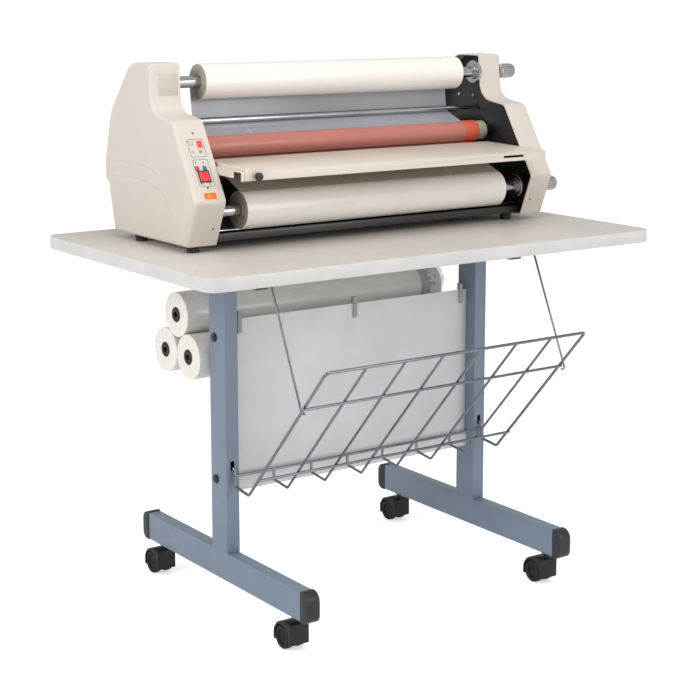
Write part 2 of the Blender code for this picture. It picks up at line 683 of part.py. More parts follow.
# ---------------------------------------------------------------- film supply
def mandrel(name, y, z, paint):
    """The shaft through a film roll, with its brake disc and threaded end."""
    stub = LEFT_PLATE[0] - 0.002
    shoulder = LEFT_PLATE[1] + 0.001
    roll_end = FILM_X + ROLL_L + 0.004
    end = RIGHT_OUT + 0.001
    thread = RIGHT_PLATE[1] + 0.002
    profile = [(0.0, end), (0.004, end), (0.004, thread), (SPINDLE_R, thread),
               (SPINDLE_R, HUB_X + HUB_L), (HUB_R, HUB_X + HUB_L), (HUB_R, HUB_X),
               (0.012, HUB_X - 0.006), (SPINDLE_R + 0.001, HUB_X - 0.010),
               (SPINDLE_R + 0.001, roll_end), (MANDREL_R, roll_end),
               (MANDREL_R, shoulder), (SPINDLE_R, shoulder), (SPINDLE_R, stub), (0.0, stub)]
    keep(turned_x(profile, y, z, 32), name, paint["chrome"])


def knob(name, y, z, paint):
    """A ribbed clamping knob, drilled for the mandrel's end."""
    ribs, depth = 20, 0.0008
    outline = []
    for k in range(2 * ribs):
        radius = KNOB_R - depth * (k % 2)
        angle = math.pi * k / ribs
        outline.append((y + radius * math.cos(angle), z + radius * math.sin(angle)))
    start = RIGHT_OUT + 0.0015
    body = plate_x([outline], start, start + KNOB_L)
    bore = turned_x([(0.0, start + 0.006), (0.005, start + 0.006), (0.005, start - 0.01),
                     (0.0, start - 0.01)], y, z, 20)
    body = cut(body, solid(bore))
    keep(set_origin(body, (0.0, y, z)), name, paint["steel"])


def film_supply(paint):
    for name, y, z, radius in (("top", UPPER_ROLL_Y, UPPER_ROLL_Z, UPPER_ROLL_R),
                               ("bottom", LOWER_ROLL_Y, LOWER_ROLL_Z, LOWER_ROLL_R)):
        mandrel(f"{name}_mandrel", y, z, paint)
        roll = hollow_roll(radius, FILM_X, FILM_X + ROLL_L, y, z)
        keep(roll, f"{name}_film_roll", paint["film"])
        knob(f"{name}_tension_knob", y, z, paint)


# ---------------------------------------------------------------- rollers and drive
def gear_outline(y, z, teeth, phase):
    """A spur gear with straight-flanked teeth and running clearance; phase is one tooth's angle."""
    pitch_r = MODULE * teeth / 2
    outer, root = pitch_r + 0.80 * MODULE, pitch_r - 1.05 * MODULE
    pitch = 2 * math.pi / teeth
    outline = []
    for k in range(teeth):
        for offset, radius in ((-0.32, root), (-0.11, outer), (0.11, outer), (0.32, root)):
            angle = phase + pitch * (k + offset)
            outline.append((y + radius * math.cos(angle), z + radius * math.sin(angle)))
    return outline


def meshed_phase(phase, teeth, other_teeth, line):
    """Tooth angle of a gear that meshes with another, the line between centres given."""
    carried = 0.5 - teeth * (line - phase) / (2 * math.pi)
    return line + math.pi - 2 * math.pi * carried / other_teeth


def gear_phases():
    lower = 0.0
    upper = meshed_phase(lower, TEETH, TEETH, math.pi / 2)
    train = meshed_phase(lower, TEETH, TRAIN_TEETH, TRAIN_TILT)
    pull = meshed_phase(train, TRAIN_TEETH, PULL_TEETH, TRAIN_TILT)
    upper_pull = meshed_phase(pull, PULL_TEETH, PULL_TEETH, math.pi / 2)
    pinion = meshed_phase(train, TRAIN_TEETH, PINION_TEETH, -math.pi / 2)
    return lower, upper, train, pull, upper_pull, pinion


def roller(name, y, z, radius, teeth, phase, colour, paint):
    """A roller on its journals, with the gear that is keyed to its right end."""
    left, right = LEFT_PLATE[0] - 0.004, GEAR_X[1] + 0.002
    hub = radius - 0.002
    profile = [(0.0, right), (SPINDLE_R, right), (SPINDLE_R, COLLAR_END), (0.013, COLLAR_END),
               (0.013, HUB_END), (hub, HUB_END), (hub, SLEEVE_X[1]), (radius, SLEEVE_X[1]),
               (radius, SLEEVE_X[0]), (SPINDLE_R, SLEEVE_X[0]), (SPINDLE_R, left), (0.0, left)]
    body = turned_x(profile, y, z, 40)
    gear = plate_x([gear_outline(y, z, teeth, phase)], *GEAR_X)
    whole = joined(solid(body), gear)
    smooth(whole)
    keep(set_origin(whole, (0.0, y, z)), name, paint[colour])


def rollers(paint):
    lower, upper, train, pull, upper_pull, pinion = gear_phases()
    roller("upper_laminating_roller", NIP_Y, UPPER_Z, ROLLER_R, TEETH, upper, "silicone", paint)
    roller("lower_laminating_roller", NIP_Y, LOWER_Z, ROLLER_R, TEETH, lower, "silicone", paint)
    roller("upper_pull_roller", PULL_Y, PULL_UPPER_Z, PULL_R, PULL_TEETH, upper_pull, "rubber", paint)
    roller("lower_pull_roller", PULL_Y, PULL_LOWER_Z, PULL_R, PULL_TEETH, pull, "rubber", paint)
    outlines = [gear_outline(TRAIN_Y, TRAIN_Z, TRAIN_TEETH, train), circle(TRAIN_Y, TRAIN_Z, 0.006, 24)]
    gear = plate_x(outlines, *GEAR_X)
    keep(set_origin(gear, (0.0, TRAIN_Y, TRAIN_Z)), "train_gear", paint["steel"])
    outlines = [gear_outline(TRAIN_Y, PINION_Z, PINION_TEETH, pinion), circle(TRAIN_Y, PINION_Z, 0.0035, 16)]
    gear = plate_x(outlines, *GEAR_X)
    keep(set_origin(gear, (0.0, TRAIN_Y, PINION_Z)), "motor_pinion", paint["steel"])


def motor(paint):
    """The gearmotor on the right cheek, its shaft through to the pinion."""
    face = RIGHT_PLATE[0] - GAP
    profile = [(0.0, GEAR_X[1]), (0.0030, GEAR_X[1]), (0.0030, face), (MOTOR_R, face),
               (MOTOR_R, face - 0.030), (MOTOR_R - 0.004, face - 0.031),
               (MOTOR_R - 0.004, face - MOTOR_L), (0.0, face - MOTOR_L)]
    keep(turned_x(profile, TRAIN_Y, PINION_Z, 32), "drive_motor", paint["steel"])


def idler_and_tie_bar(paint):
    ends = (LEFT_PLATE[0] - 0.002, RIGHT_PLATE[1] + 0.002)
    thin, tube_ends = IDLER_STUB_R, (MID_X - IDLER_HALF, MID_X + IDLER_HALF)
    profile = [(0.0, ends[1]), (thin, ends[1]), (thin, tube_ends[1]), (IDLER_R, tube_ends[1]),
               (IDLER_R, tube_ends[0]), (thin, tube_ends[0]), (thin, ends[0]), (0.0, ends[0])]
    keep(turned_x(profile, IDLER_Y, IDLER_Z, 24), "film_idler", paint["chrome"])
    ends = (LEFT_PLATE[1] + GAP, RIGHT_PLATE[0] - GAP)
    profile = [(0.0, ends[1]), (TIE_R, ends[1]), (TIE_R, ends[0]), (0.0, ends[0])]
    keep(turned_x(profile, TIE_Y, TIE_Z, 24), "tie_bar", paint["chrome"])


# ---------------------------------------------------------------- feed tray and its guide
def feed_tray(paint):
    """The sheet that leads work to the nip: top, front lip and a short flange on each end."""
    (back, back_z), (lip, lip_z) = TRAY_BACK, TRAY_LIP
    t = TRAY_T
    outline = [(back, back_z), (lip, lip_z), (lip, lip_z - LIP_H), (lip + t, lip_z - LIP_H),
               (lip + t, lip_z - t), (back, back_z - t)]
    sheet = plate_x([outline], *TRAY_X)
    fall = (back_z - lip_z) / (back - lip)
    first, last = lip + NOTCH, back - 0.012
    z_first, z_last = lip_z + fall * NOTCH, back_z - fall * 0.012
    flange = [(first, z_first - t / 2), (first, z_first - FLANGE_H), (last, z_last - FLANGE_H),
              (last, z_last - t / 2)]
    left, right = TRAY_X[0] + GAP, TRAY_X[1] - GAP
    sheet = joined(sheet, plate_x([flange], left, left + t), plate_x([flange], right - t, right))
    middle = lip_z - LIP_H / 2
    slot = box((LIP_SLOT_X[0], lip - 0.01, middle - LIP_SLOT_H / 2 + 0.001),
               (LIP_SLOT_X[1], lip + 0.01, middle + LIP_SLOT_H / 2 + 0.001))
    keep(cut(sheet, slot), "feed_tray", paint["cream_metal"])


def edge_guide(paint):
    """A low fence along the tray with a clamp plate down the front of the lip."""
    (back, back_z), (lip, lip_z) = TRAY_BACK, TRAY_LIP
    t, tall = 0.0020, 0.0070
    fall = (back_z - lip_z) / (back - lip)
    front = lip - 0.0005 - t
    start = lip_z + GAP + fall * (front - lip)
    fence = [(front, start), (back - 0.004, back_z + GAP - fall * 0.004),
             (back - 0.004, back_z + GAP + tall), (front, start + tall)]
    bar = plate_x([fence], GUIDE_X[0], GUIDE_X[0] + 0.004)
    clamp = box((GUIDE_X[0], front, lip_z - LIP_H + 0.001), (GUIDE_X[1], front + t, start + tall))
    keep(joined(bar, clamp), "edge_guide", paint["cream_metal"])
    face = front - GAP
    profile = [(0.0, 0.0150), (0.0070, 0.0150), (0.0085, 0.0130), (0.0085, 0.0045),
               (0.0040, 0.0035), (0.0040, 0.0), (0.0, 0.0)]
    thumb = turned(profile, 24)
    thumb.rotation_euler = (math.pi / 2, 0.0, 0.0)
    thumb.location = (GUIDE_KNOB_X, face, lip_z - LIP_H / 2)
    bpy.context.view_layer.update()
    thumb = solid(thumb)
    smooth(thumb)
    keep(set_origin(thumb, (GUIDE_KNOB_X, face, lip_z - LIP_H / 2)), "guide_knob", paint["plastic"])


def power_inlet(paint):
    """The appliance inlet low on the left housing's rear."""
    y = 0.2578
    body = box((-0.434, y, 0.824), (-0.404, y + 0.010, 0.848), 0.0010, 1)
    well = box((-0.429, y + 0.004, 0.829), (-0.409, y + 0.02, 0.843))
    keep(cut(solid(body), well), "power_inlet", paint["plastic"])


def place_over_origin():
    for obj in group(COLLECTION).objects:
        obj.location.y += DEPTH_SHIFT


def main():
    clear_scene()
    paint = make_finishes()
    table(paint)
    for side, x in (("left", -LEG_X), ("right", LEG_X)):
        leg(side, x, paint)
        foot(side, x, paint)
    casters(paint)
    back_panel(paint)
    roll_brackets(paint)
    stored_rolls(paint)
    basket(paint)
    basket_rods(paint)
    housings(paint)
    controls(paint)
    side_plates(paint)
    base_pan(paint)
    machine_feet(paint)
    film_supply(paint)
    rollers(paint)
    motor(paint)
    idler_and_tie_bar(paint)
    feed_tray(paint)
    edge_guide(paint)
    power_inlet(paint)
    place_over_origin()


main()
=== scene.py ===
# %% [markdown]
# # A cold roll laminator on its wheeled stand
#
# The solid model of this machine is already made and packed: every tube, roller and
# switch has its place in it. This file puts the looks around that model. It never
# moves a part. It makes a finer copy or a new piece where the plain solid is too
# plain, gives each piece a finish, and lights the whole for one still picture.
#
# Units are metres. +X runs to the operator's right along the rollers, +Y to the rear
# and +Z up, with the floor at z = 0.

# %% Load the frame
import json
import math

import bmesh
import bpy
from mathutils import Matrix, Vector
from mathutils import noise as smooth_noise


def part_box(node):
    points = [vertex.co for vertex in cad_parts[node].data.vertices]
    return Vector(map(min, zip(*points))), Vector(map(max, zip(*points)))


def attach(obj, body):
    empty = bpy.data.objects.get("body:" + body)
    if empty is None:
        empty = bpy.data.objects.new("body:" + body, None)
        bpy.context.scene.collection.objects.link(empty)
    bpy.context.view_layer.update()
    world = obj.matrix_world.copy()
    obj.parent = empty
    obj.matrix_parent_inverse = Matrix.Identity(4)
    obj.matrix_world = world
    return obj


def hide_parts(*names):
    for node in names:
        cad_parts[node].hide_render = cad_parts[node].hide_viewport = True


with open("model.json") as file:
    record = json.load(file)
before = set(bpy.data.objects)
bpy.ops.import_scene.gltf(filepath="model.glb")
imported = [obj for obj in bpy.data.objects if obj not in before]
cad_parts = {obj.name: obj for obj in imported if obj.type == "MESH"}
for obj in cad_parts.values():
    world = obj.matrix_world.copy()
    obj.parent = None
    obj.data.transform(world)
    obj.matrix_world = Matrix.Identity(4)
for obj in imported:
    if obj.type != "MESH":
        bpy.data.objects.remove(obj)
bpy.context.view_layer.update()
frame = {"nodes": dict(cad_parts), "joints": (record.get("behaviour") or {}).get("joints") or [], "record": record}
MM = 0.001
ROOT = "stand_and_frame"

# %% [markdown]
# ## Small helpers
#
# Operators act on whatever is selected, so each helper clears the selection first and
# then picks exactly one object. Faces are picked by their place or by the way they
# look, which is how a person would describe them too: "the faces on the left end".
# `sound` closes the seams of a shape and turns its faces outwards.

# %% Picking objects and faces
def pick(obj):
    """Make obj the only selected and the active object."""
    bpy.ops.object.select_all(action="DESELECT")
    obj.select_set(True)
    bpy.context.view_layer.objects.active = obj
    return obj


def select_faces(obj, wanted):
    """In edit mode, select the faces for which wanted(centre, normal) is true."""
    bpy.ops.mesh.select_mode(type="FACE")
    bpy.ops.mesh.select_all(action="DESELECT")
    work = bmesh.from_edit_mesh(obj.data)
    for face in work.faces:
        face.select_set(bool(wanted(face.calc_center_median(), face.normal)))
    bmesh.update_edit_mesh(obj.data)


def start_edit(obj):
    pick(obj)
    bpy.ops.object.mode_set(mode="EDIT")


def stop_edit():
    bpy.ops.object.mode_set(mode="OBJECT")


def sound(obj, weld=0.0):
    """Weld points that coincide within weld, and turn every face outwards."""
    start_edit(obj)
    bpy.ops.mesh.select_all(action="SELECT")
    if weld:
        bpy.ops.mesh.remove_doubles(threshold=weld)
    bpy.ops.mesh.normals_make_consistent(inside=False)
    stop_edit()
    return obj


def linked(name, data):
    """A new object at the origin that shows the given mesh, curve, lamp or camera."""
    obj = bpy.data.objects.new(name, data)
    bpy.context.scene.collection.objects.link(obj)
    return obj


def from_points(name, verts, edges=(), faces=()):
    mesh = bpy.data.meshes.new(name)
    mesh.from_pydata(verts, edges, faces)
    return linked(name, mesh)


def place_in_mesh(obj):
    """Bring the object to the origin, unturned and unscaled, its place in its mesh."""
    pick(obj)
    bpy.ops.object.transform_apply(location=True, rotation=True, scale=True)
    return obj


# %% [markdown]
# A person picks up an object by its edges, and light does the same: a knife-sharp edge
# is what gives a computer model away. `round_edges` puts a small bevel on every edge
# that turns more than a given angle and then smooths the shading of what is left.

# %% Rounding and smoothing
def apply_modifier(obj, kind, **settings):
    modifier = obj.modifiers.new(kind.lower(), kind)
    for key, value in settings.items():
        setattr(modifier, key, value)
    pick(obj)
    bpy.ops.object.modifier_apply(modifier=modifier.name)
    return obj


def shade(obj, degrees=35):
    pick(obj)
    bpy.ops.object.shade_smooth_by_angle(angle=math.radians(degrees))
    return obj


def round_edges(obj, width, segments=3, degrees=32):
    apply_modifier(obj, "BEVEL", width=width, segments=segments, limit_method="ANGLE",
                   angle_limit=math.radians(degrees), use_clamp_overlap=True, miter_outer="MITER_ARC")
    return shade(obj)


# %% [markdown]
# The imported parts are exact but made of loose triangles. `copy_of` takes such a part,
# welds the triangles back together and melts the flat ones into whole faces, so that a
# bevel has true edges to work on.

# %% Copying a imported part
def copy_of(node, name):
    obj = linked(name, frame["nodes"][node].data.copy())
    obj.data.materials.clear()
    start_edit(obj)
    bpy.ops.mesh.select_all(action="SELECT")
    bpy.ops.mesh.remove_doubles(threshold=0.01 * MM)
    bpy.ops.mesh.dissolve_limited(angle_limit=math.radians(0.5))
    bpy.ops.mesh.customdata_custom_splitnormals_clear()
    stop_edit()
    return obj


# %% [markdown]
# Shapes that many pieces start from. A block is only the first step: the piece goes on
# to be divided, bevelled or cut. A turned piece is a profile spun about an axis, which
# is how its real counterpart is made on a lathe.

# %% Blocks, bars and turned shapes
def block(name, low, high):
    low, high = Vector(low), Vector(high)
    bpy.ops.object.select_all(action="DESELECT")
    bpy.ops.mesh.primitive_cube_add(size=1.0, location=(low + high) / 2)
    obj = bpy.context.object
    obj.name = name
    obj.scale = high - low
    return place_in_mesh(obj)


AXES = {"X": (1, 0, 0), "Y": (0, 1, 0), "Z": (0, 0, 1)}
SAME_PLACE = 0.002 * MM           # points of a new shape that are closer than this are one


def turned(name, centre, axis, profile, steps=64):
    """Spin a profile of (radius, distance along the axis) points about an axis.

    centre is a point on the axis and axis is "X", "Y" or "Z" or a unit vector.
    """
    along = Vector(AXES[axis] if isinstance(axis, str) else axis)
    out = along.orthogonal().normalized()
    centre = Vector(centre)
    obj = from_points(name, [centre + out * r + along * d for r, d in profile],
                      [(i, i + 1) for i in range(len(profile) - 1)])
    start_edit(obj)
    bpy.ops.mesh.select_all(action="SELECT")
    bpy.ops.mesh.spin(steps=steps, angle=math.tau, center=centre, axis=along)
    stop_edit()
    return shade(sound(obj, SAME_PLACE), 30)


def rod_profile(radius, low, high):
    """A plain rod from low to high along its axis, for `turned`."""
    return [(0.0, low), (radius, low), (radius, high), (0.0, high)]


def joined(name, *objects):
    pick(objects[0])
    for obj in objects[1:]:
        obj.select_set(True)
    bpy.ops.object.join()
    obj = bpy.context.object
    obj.name = name
    return obj


# %% [markdown]
# Every finished piece is told three things: its finish, the body it rides on, and the imported parts that it
# stands for.

# %% Finishing a piece
made = []


def finished(obj, finish, body, stands_for=()):
    obj.data.materials.clear()
    obj.data.materials.append(finish)
    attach(obj, body)
    if stands_for:
        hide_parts(*stands_for)
    made.append(obj.name)
    return obj


def circle_of(node):
    """The middle, as y and z, and the radius of a packed round part that lies along X."""
    low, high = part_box(node)
    return ((low.y + high.y) / 2, (low.z + high.z) / 2), (high.z - low.z) / 2


BODY_OF = {node: body for body, nodes in frame["record"]["behaviour"]["bodies"].items()
           for node in nodes}


def dressed(node, finish, name=None, bevel=0.0, segments=3, degrees=32):
    """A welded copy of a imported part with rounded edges, in place of the part itself."""
    obj = copy_of(node, name or f"{node}_skin")
    if bevel:
        round_edges(obj, bevel, segments, degrees)
    else:
        shade(obj)
    return finished(obj, finish, BODY_OF[node], [node])


# %% [markdown]
# ## Finishes
#
# Each finish is one function. Real surfaces are never one flat colour: paint pools a
# little, plastic has a fine grain, steel has marks along the way it was turned. The
# helpers below add those three things, colour drift, a change of gloss, and a fine
# relief, all from noise in object coordinates, so that they stay put on the piece.

# %% Building blocks of a finish
class Finish:
    """A material with its Principled shader and a shared object-space position."""

    def __init__(self, name, colour, roughness, metallic=0.0, **sockets):
        self.material = bpy.data.materials.new(name)
        self.material.use_nodes = True
        self.nodes = self.material.node_tree.nodes
        self.links = self.material.node_tree.links
        self.shader = self.nodes["Principled BSDF"]
        self.colour = (*colour, 1.0)
        self.set("Base Color", self.colour)
        self.set("Roughness", roughness)
        self.set("Metallic", metallic)
        for key, value in sockets.items():
            self.set(key.replace("_", " "), value)
        self.place = self.nodes.new("ShaderNodeTexCoord").outputs["Object"]
        self.relief = None

    def set(self, socket, value):
        self.shader.inputs[socket].default_value = value

    def link(self, output, socket):
        self.links.new(output, self.shader.inputs[socket])

    def stretched(self, scale):
        mapping = self.nodes.new("ShaderNodeMapping")
        mapping.inputs["Scale"].default_value = scale
        self.links.new(self.place, mapping.inputs["Vector"])
        return mapping.outputs["Vector"]

    def noise(self, scale, detail=3.0, stretch=(1, 1, 1), rough=0.55):
        texture = self.nodes.new("ShaderNodeTexNoise")
        texture.inputs["Scale"].default_value = scale
        texture.inputs["Detail"].default_value = detail
        texture.inputs["Roughness"].default_value = rough
        self.links.new(self.stretched(stretch), texture.inputs["Vector"])
        return texture.outputs["Fac"]

    def ramp(self, value, stops):
        """stops: (position, colour) pairs."""
        node = self.nodes.new("ShaderNodeValToRGB")
        elements = node.color_ramp.elements
        while len(elements) < len(stops):
            elements.new(0.5)
        for element, (position, colour) in zip(elements, stops):
            element.position = position
            element.color = (*colour[:3], 1.0)
        self.links.new(value, node.inputs["Fac"])
        return node.outputs["Color"]

    def spread(self, value, low, high, start=0.3, end=0.7):
        node = self.nodes.new("ShaderNodeMapRange")
        node.inputs["From Min"].default_value = start
        node.inputs["From Max"].default_value = end
        node.inputs["To Min"].default_value = low
        node.inputs["To Max"].default_value = high
        self.links.new(value, node.inputs["Value"])
        return node.outputs["Result"]

    def mixed(self, factor, first, second, how="MIX"):
        node = self.nodes.new("ShaderNodeMix")
        node.data_type = "RGBA"
        node.blend_type = how
        for socket, given in (("Factor_Float", factor), ("A_Color", first), ("B_Color", second)):
            target = next(i for i in node.inputs if i.identifier == socket)
            if isinstance(given, (tuple, float, int)):
                target.default_value = given if not isinstance(given, tuple) else (*given[:3], 1.0)
            else:
                self.links.new(given, target)
        return next(o for o in node.outputs if o.identifier == "Result_Color")

    def drift(self, scale, amount, stretch=(1, 1, 1), detail=2.0):
        """Let the colour wander a little lighter and darker."""
        base = self.colour[:3]
        dark = tuple(c * (1 - amount) for c in base)
        light = tuple(min(c * (1 + amount), 1.0) for c in base)
        colour = self.ramp(self.noise(scale, detail, stretch), [(0.3, dark), (0.7, light)])
        self.link(colour, "Base Color")
        return colour

    def gloss(self, scale, low, high, stretch=(1, 1, 1), detail=4.0):
        self.link(self.spread(self.noise(scale, detail, stretch), low, high), "Roughness")

    def bump(self, height, strength, distance):
        node = self.nodes.new("ShaderNodeBump")
        node.inputs["Strength"].default_value = strength
        node.inputs["Distance"].default_value = distance
        self.links.new(height, node.inputs["Height"])
        if self.relief:
            self.links.new(self.relief, node.inputs["Normal"])
        self.relief = node.outputs["Normal"]
        self.link(self.relief, "Normal")

    def distance(self, centre, across=(1, 1, 1)):
        """How far a place is from centre, counting only the axes that across keeps."""
        centred = self.nodes.new("ShaderNodeMapping")
        centred.inputs["Location"].default_value = tuple(-c for c in centre)
        centred.inputs["Scale"].default_value = across
        self.links.new(self.place, centred.inputs["Vector"])
        node = self.nodes.new("ShaderNodeVectorMath")
        node.operation = "LENGTH"
        self.links.new(centred.outputs["Vector"], node.inputs[0])
        return node.outputs["Value"]

    def facing(self, letter):
        """How far the surface looks along an axis, from -1 to 1."""
        geometry = self.nodes.new("ShaderNodeNewGeometry")
        node = self.nodes.new("ShaderNodeSeparateXYZ")
        self.links.new(geometry.outputs["Normal"], node.inputs["Vector"])
        return node.outputs[letter]

    def maths(self, how, first, second=0.0):
        node = self.nodes.new("ShaderNodeMath")
        node.operation = how
        for socket, given in zip(node.inputs, (first, second)):
            if isinstance(given, (int, float)):
                socket.default_value = given
            else:
                self.links.new(given, socket)
        return node.outputs["Value"]


# %% [markdown]
# ### Enamel, moulded plastic and rubber
#
# The stand is painted steel tube. The paint is satin and has a very fine orange-peel
# relief. The housings are moulded plastic with a fine even grain. Both use the same
# three steps with different sizes: enamel is smoother and shinier, plastic duller.

# %% Paint and plastic
def enamel(name, colour, roughness=0.36, drift=0.05):
    paint = Finish(name, colour, roughness, Coat_Weight=0.15, Coat_Roughness=0.25)
    paint.drift(9.0, drift)
    paint.gloss(40.0, roughness - 0.05, roughness + 0.07)
    paint.bump(paint.noise(900.0, 2.0), 0.10, 0.15 * MM)
    return paint.material


def moulded(name, colour, roughness=0.48, grain=0.12, drift=0.04):
    plastic = Finish(name, colour, roughness)
    plastic.drift(7.0, drift)
    plastic.gloss(60.0, roughness - 0.06, roughness + 0.06)
    plastic.bump(plastic.noise(1400.0, 3.0), grain, 0.12 * MM)
    return plastic.material


def rubber(name, colour, roughness=0.72):
    soft = Finish(name, colour, roughness)
    soft.drift(30.0, 0.25)
    soft.gloss(120.0, roughness - 0.08, roughness + 0.10)
    soft.bump(soft.noise(600.0, 4.0), 0.25, 0.2 * MM)
    return soft.material


# %% [markdown]
# ### Plated and turned metal
#
# Chrome is almost a mirror, with a faint haze that changes along the wire. Turned
# steel is rougher and carries rings: noise that is stretched flat across the axis
# makes them, since every point of one ring then reads nearly the same value.

# %% Metals
def chrome(name, colour=(0.62, 0.63, 0.65), roughness=0.14):
    plate = Finish(name, colour, roughness, 1.0)
    plate.drift(25.0, 0.08)
    plate.gloss(55.0, roughness - 0.04, roughness + 0.10)
    return plate.material


def turned_steel(name, colour=(0.50, 0.50, 0.51), roughness=0.30, axis="X"):
    steel = Finish(name, colour, roughness, 1.0)
    rings = {"X": (1, 0.02, 0.02), "Y": (0.02, 1, 0.02), "Z": (0.02, 0.02, 1)}[axis]
    steel.drift(12.0, 0.10)
    steel.gloss(900.0, roughness - 0.08, roughness + 0.10, rings)
    steel.bump(steel.noise(1500.0, 2.0, rings), 0.15, 0.05 * MM)
    return steel.material

# %% [markdown]
# ### This machine's own colours
#
# Colours are easier to name as the everyday 0 to 255 values that a paint chart gives.
# The shader wants linear light, so `tint` converts them.

# %% The stand's finishes
def tint(*levels):
    return tuple((v / 255 / 12.92) if v / 255 <= 0.04045 else ((v / 255 + 0.055) / 1.055) ** 2.4
                 for v in levels)


BLUE_GREY = enamel("blue_grey_enamel", tint(117, 131, 149), 0.38)
PANEL_GREY = enamel("panel_grey_enamel", tint(212, 210, 213), 0.42)
STRAP_GREY = enamel("strap_grey_enamel", tint(150, 152, 158), 0.40)
CAP_BLACK = moulded("cap_black_plastic", tint(34, 37, 44), 0.42, 0.2, 0.15)
PLUG_BLACK = moulded("plug_black_plastic", tint(10, 13, 17), 0.50, 0.08, 0.08)
WHEEL_BLACK = rubber("wheel_black_rubber", tint(7, 9, 12), 0.60)
FOOT_RUBBER = rubber("foot_black_rubber", tint(32, 32, 34))
CHROME_WIRE = chrome("chrome_wire", (0.24, 0.25, 0.28), 0.14)
ZINC = chrome("zinc_screw", (0.50, 0.50, 0.50), 0.28)

# %% [markdown]
# The table is a laminated board: a speckled warm grey face and a white edge band. One
# finish does both by asking which way the surface looks. Faces that look up or down
# take the laminate, and faces that look sideways take the band.

# %% Laminate with its edge band
def laminate_board():
    board = Finish("table_laminate", tint(206, 200, 192), 0.42)
    speckle = board.ramp(board.noise(1300.0, 2.0), [(0.35, tint(188, 181, 172)),
                                                    (0.50, tint(207, 201, 193)),
                                                    (0.68, tint(222, 217, 210))])
    cloud = board.ramp(board.noise(3.0, 2.0), [(0.3, tint(236, 236, 236)), (0.7, tint(255, 255, 255))])
    face = board.mixed(0.8, speckle, cloud, "MULTIPLY")
    band = board.ramp(board.noise(20.0, 2.0), [(0.3, tint(203, 202, 200)), (0.7, tint(213, 212, 210))])
    up = board.maths("GREATER_THAN", board.maths("ABSOLUTE", board.facing("Z")), 0.6)
    board.link(board.mixed(up, band, face), "Base Color")
    board.gloss(70.0, 0.34, 0.50)
    board.bump(board.noise(1100.0, 2.0), 0.10, 0.1 * MM)
    return board.material


LAMINATE = laminate_board()

# %% [markdown]
# ## The stand
#
# The table board has a small round on its upper and lower edges where the band is
# trimmed flush. The legs are rectangular tube, whose corners are drawn to a radius of
# about a wall and a half, and each ends in a welded arm under the board.

# %% Table board, legs and feet
SIDES, ENDS = ("left", "right"), ("front", "rear")
CORNERS = [f"{side}_{end}" for side in SIDES for end in ENDS]
TUBE_ROUND = 1.6 * MM
dressed("table_top", LAMINATE, "table_board", 1.8 * MM)
for side in SIDES:
    dressed(f"{side}_leg", BLUE_GREY, f"{side}_leg_tube", TUBE_ROUND)
    dressed(f"{side}_foot_tube", BLUE_GREY, f"{side}_foot_bar", TUBE_ROUND)
    for end in ENDS:
        dressed(f"{side}_{end}_foot_cap", CAP_BLACK, f"{side}_{end}_end_cap", 2.2 * MM)
print("stand pieces so far:", len(made))

# %% [markdown]
# The uprights are bolted to the panel from outside. A fluted plastic cap hides each
# bolt head. It is a turned cap whose rim is drawn in and let out again many times on the
# way round, so that it reads as fluted from any side.

# %% Fluted bolt caps on the legs
def fluted(obj, centre, axis, flutes, depth, from_radius):
    """Draw in grooves of the given depth where the points lie beyond from_radius.

    centre is a point on the piece's axis, and axis is that axis's number, 0 for X."""
    across = [i for i in range(3) if i != axis]
    for vertex in obj.data.vertices:
        u, v = (vertex.co[i] - centre[i] for i in across)
        out = math.hypot(u, v)
        if out > from_radius:
            inward = depth * (0.5 - 0.5 * math.cos(math.atan2(v, u) * flutes))
            for i, w in zip(across, (u, v)):
                vertex.co[i] = centre[i] + w * (out - inward) / out
    return obj


CAP_PROFILE = ((0.0, 5.2 * MM), (5.5 * MM, 5.2 * MM), (8.2 * MM, 4.2 * MM), (9.3 * MM, 2.6 * MM),
               (9.6 * MM, 0.4 * MM), (0.0, 0.4 * MM))
CAP_HEIGHTS = {"upper": 0.598, "lower": 0.292}
for side, way in (("left", -1), ("right", 1)):
    low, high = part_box(f"{side}_leg")
    face = low.x if way < 0 else high.x
    for where, z in CAP_HEIGHTS.items():
        centre = Vector((face, (low.y + high.y) / 2 + 9 * MM, z))
        cap = turned(f"{side}_{where}_bolt_cap", centre, Vector((way, 0, 0)), CAP_PROFILE, 96)
        fluted(cap, centre, 0, 16, 0.9 * MM, 8.8 * MM)
        finished(cap, CAP_BLACK, ROOT)
print("bolt caps at heights:", sorted(CAP_HEIGHTS.values()))

# %% [markdown]
# A twin-wheel caster is a hood with a web down its middle and a wheel on each side.
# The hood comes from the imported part. The wheels are turned afresh, with a soft tread,
# a groove beside it, and a dished face with a raised boss.

# %% Casters
WHEEL_FACE = 22.5 * MM            # outer face of each wheel from the caster's middle


def wheel_profile(way):
    face = WHEEL_FACE
    points = [(0.0, face - 3.0 * MM), (5.0 * MM, face - 3.0 * MM), (6.0 * MM, face - 4.2 * MM),
              (14.5 * MM, face - 4.2 * MM), (16.0 * MM, face - 1.2 * MM), (19.5 * MM, face),
              (21.5 * MM, face - 0.3 * MM), (22.2 * MM, face - 1.1 * MM), (23.4 * MM, face - 0.9 * MM),
              (24.6 * MM, face - 2.2 * MM), (25.0 * MM, face - 4.4 * MM), (25.0 * MM, 9.4 * MM),
              (23.6 * MM, 6.6 * MM), (6.0 * MM, 6.4 * MM), (0.0, 6.4 * MM)]
    return [(radius, way * along) for radius, along in points]


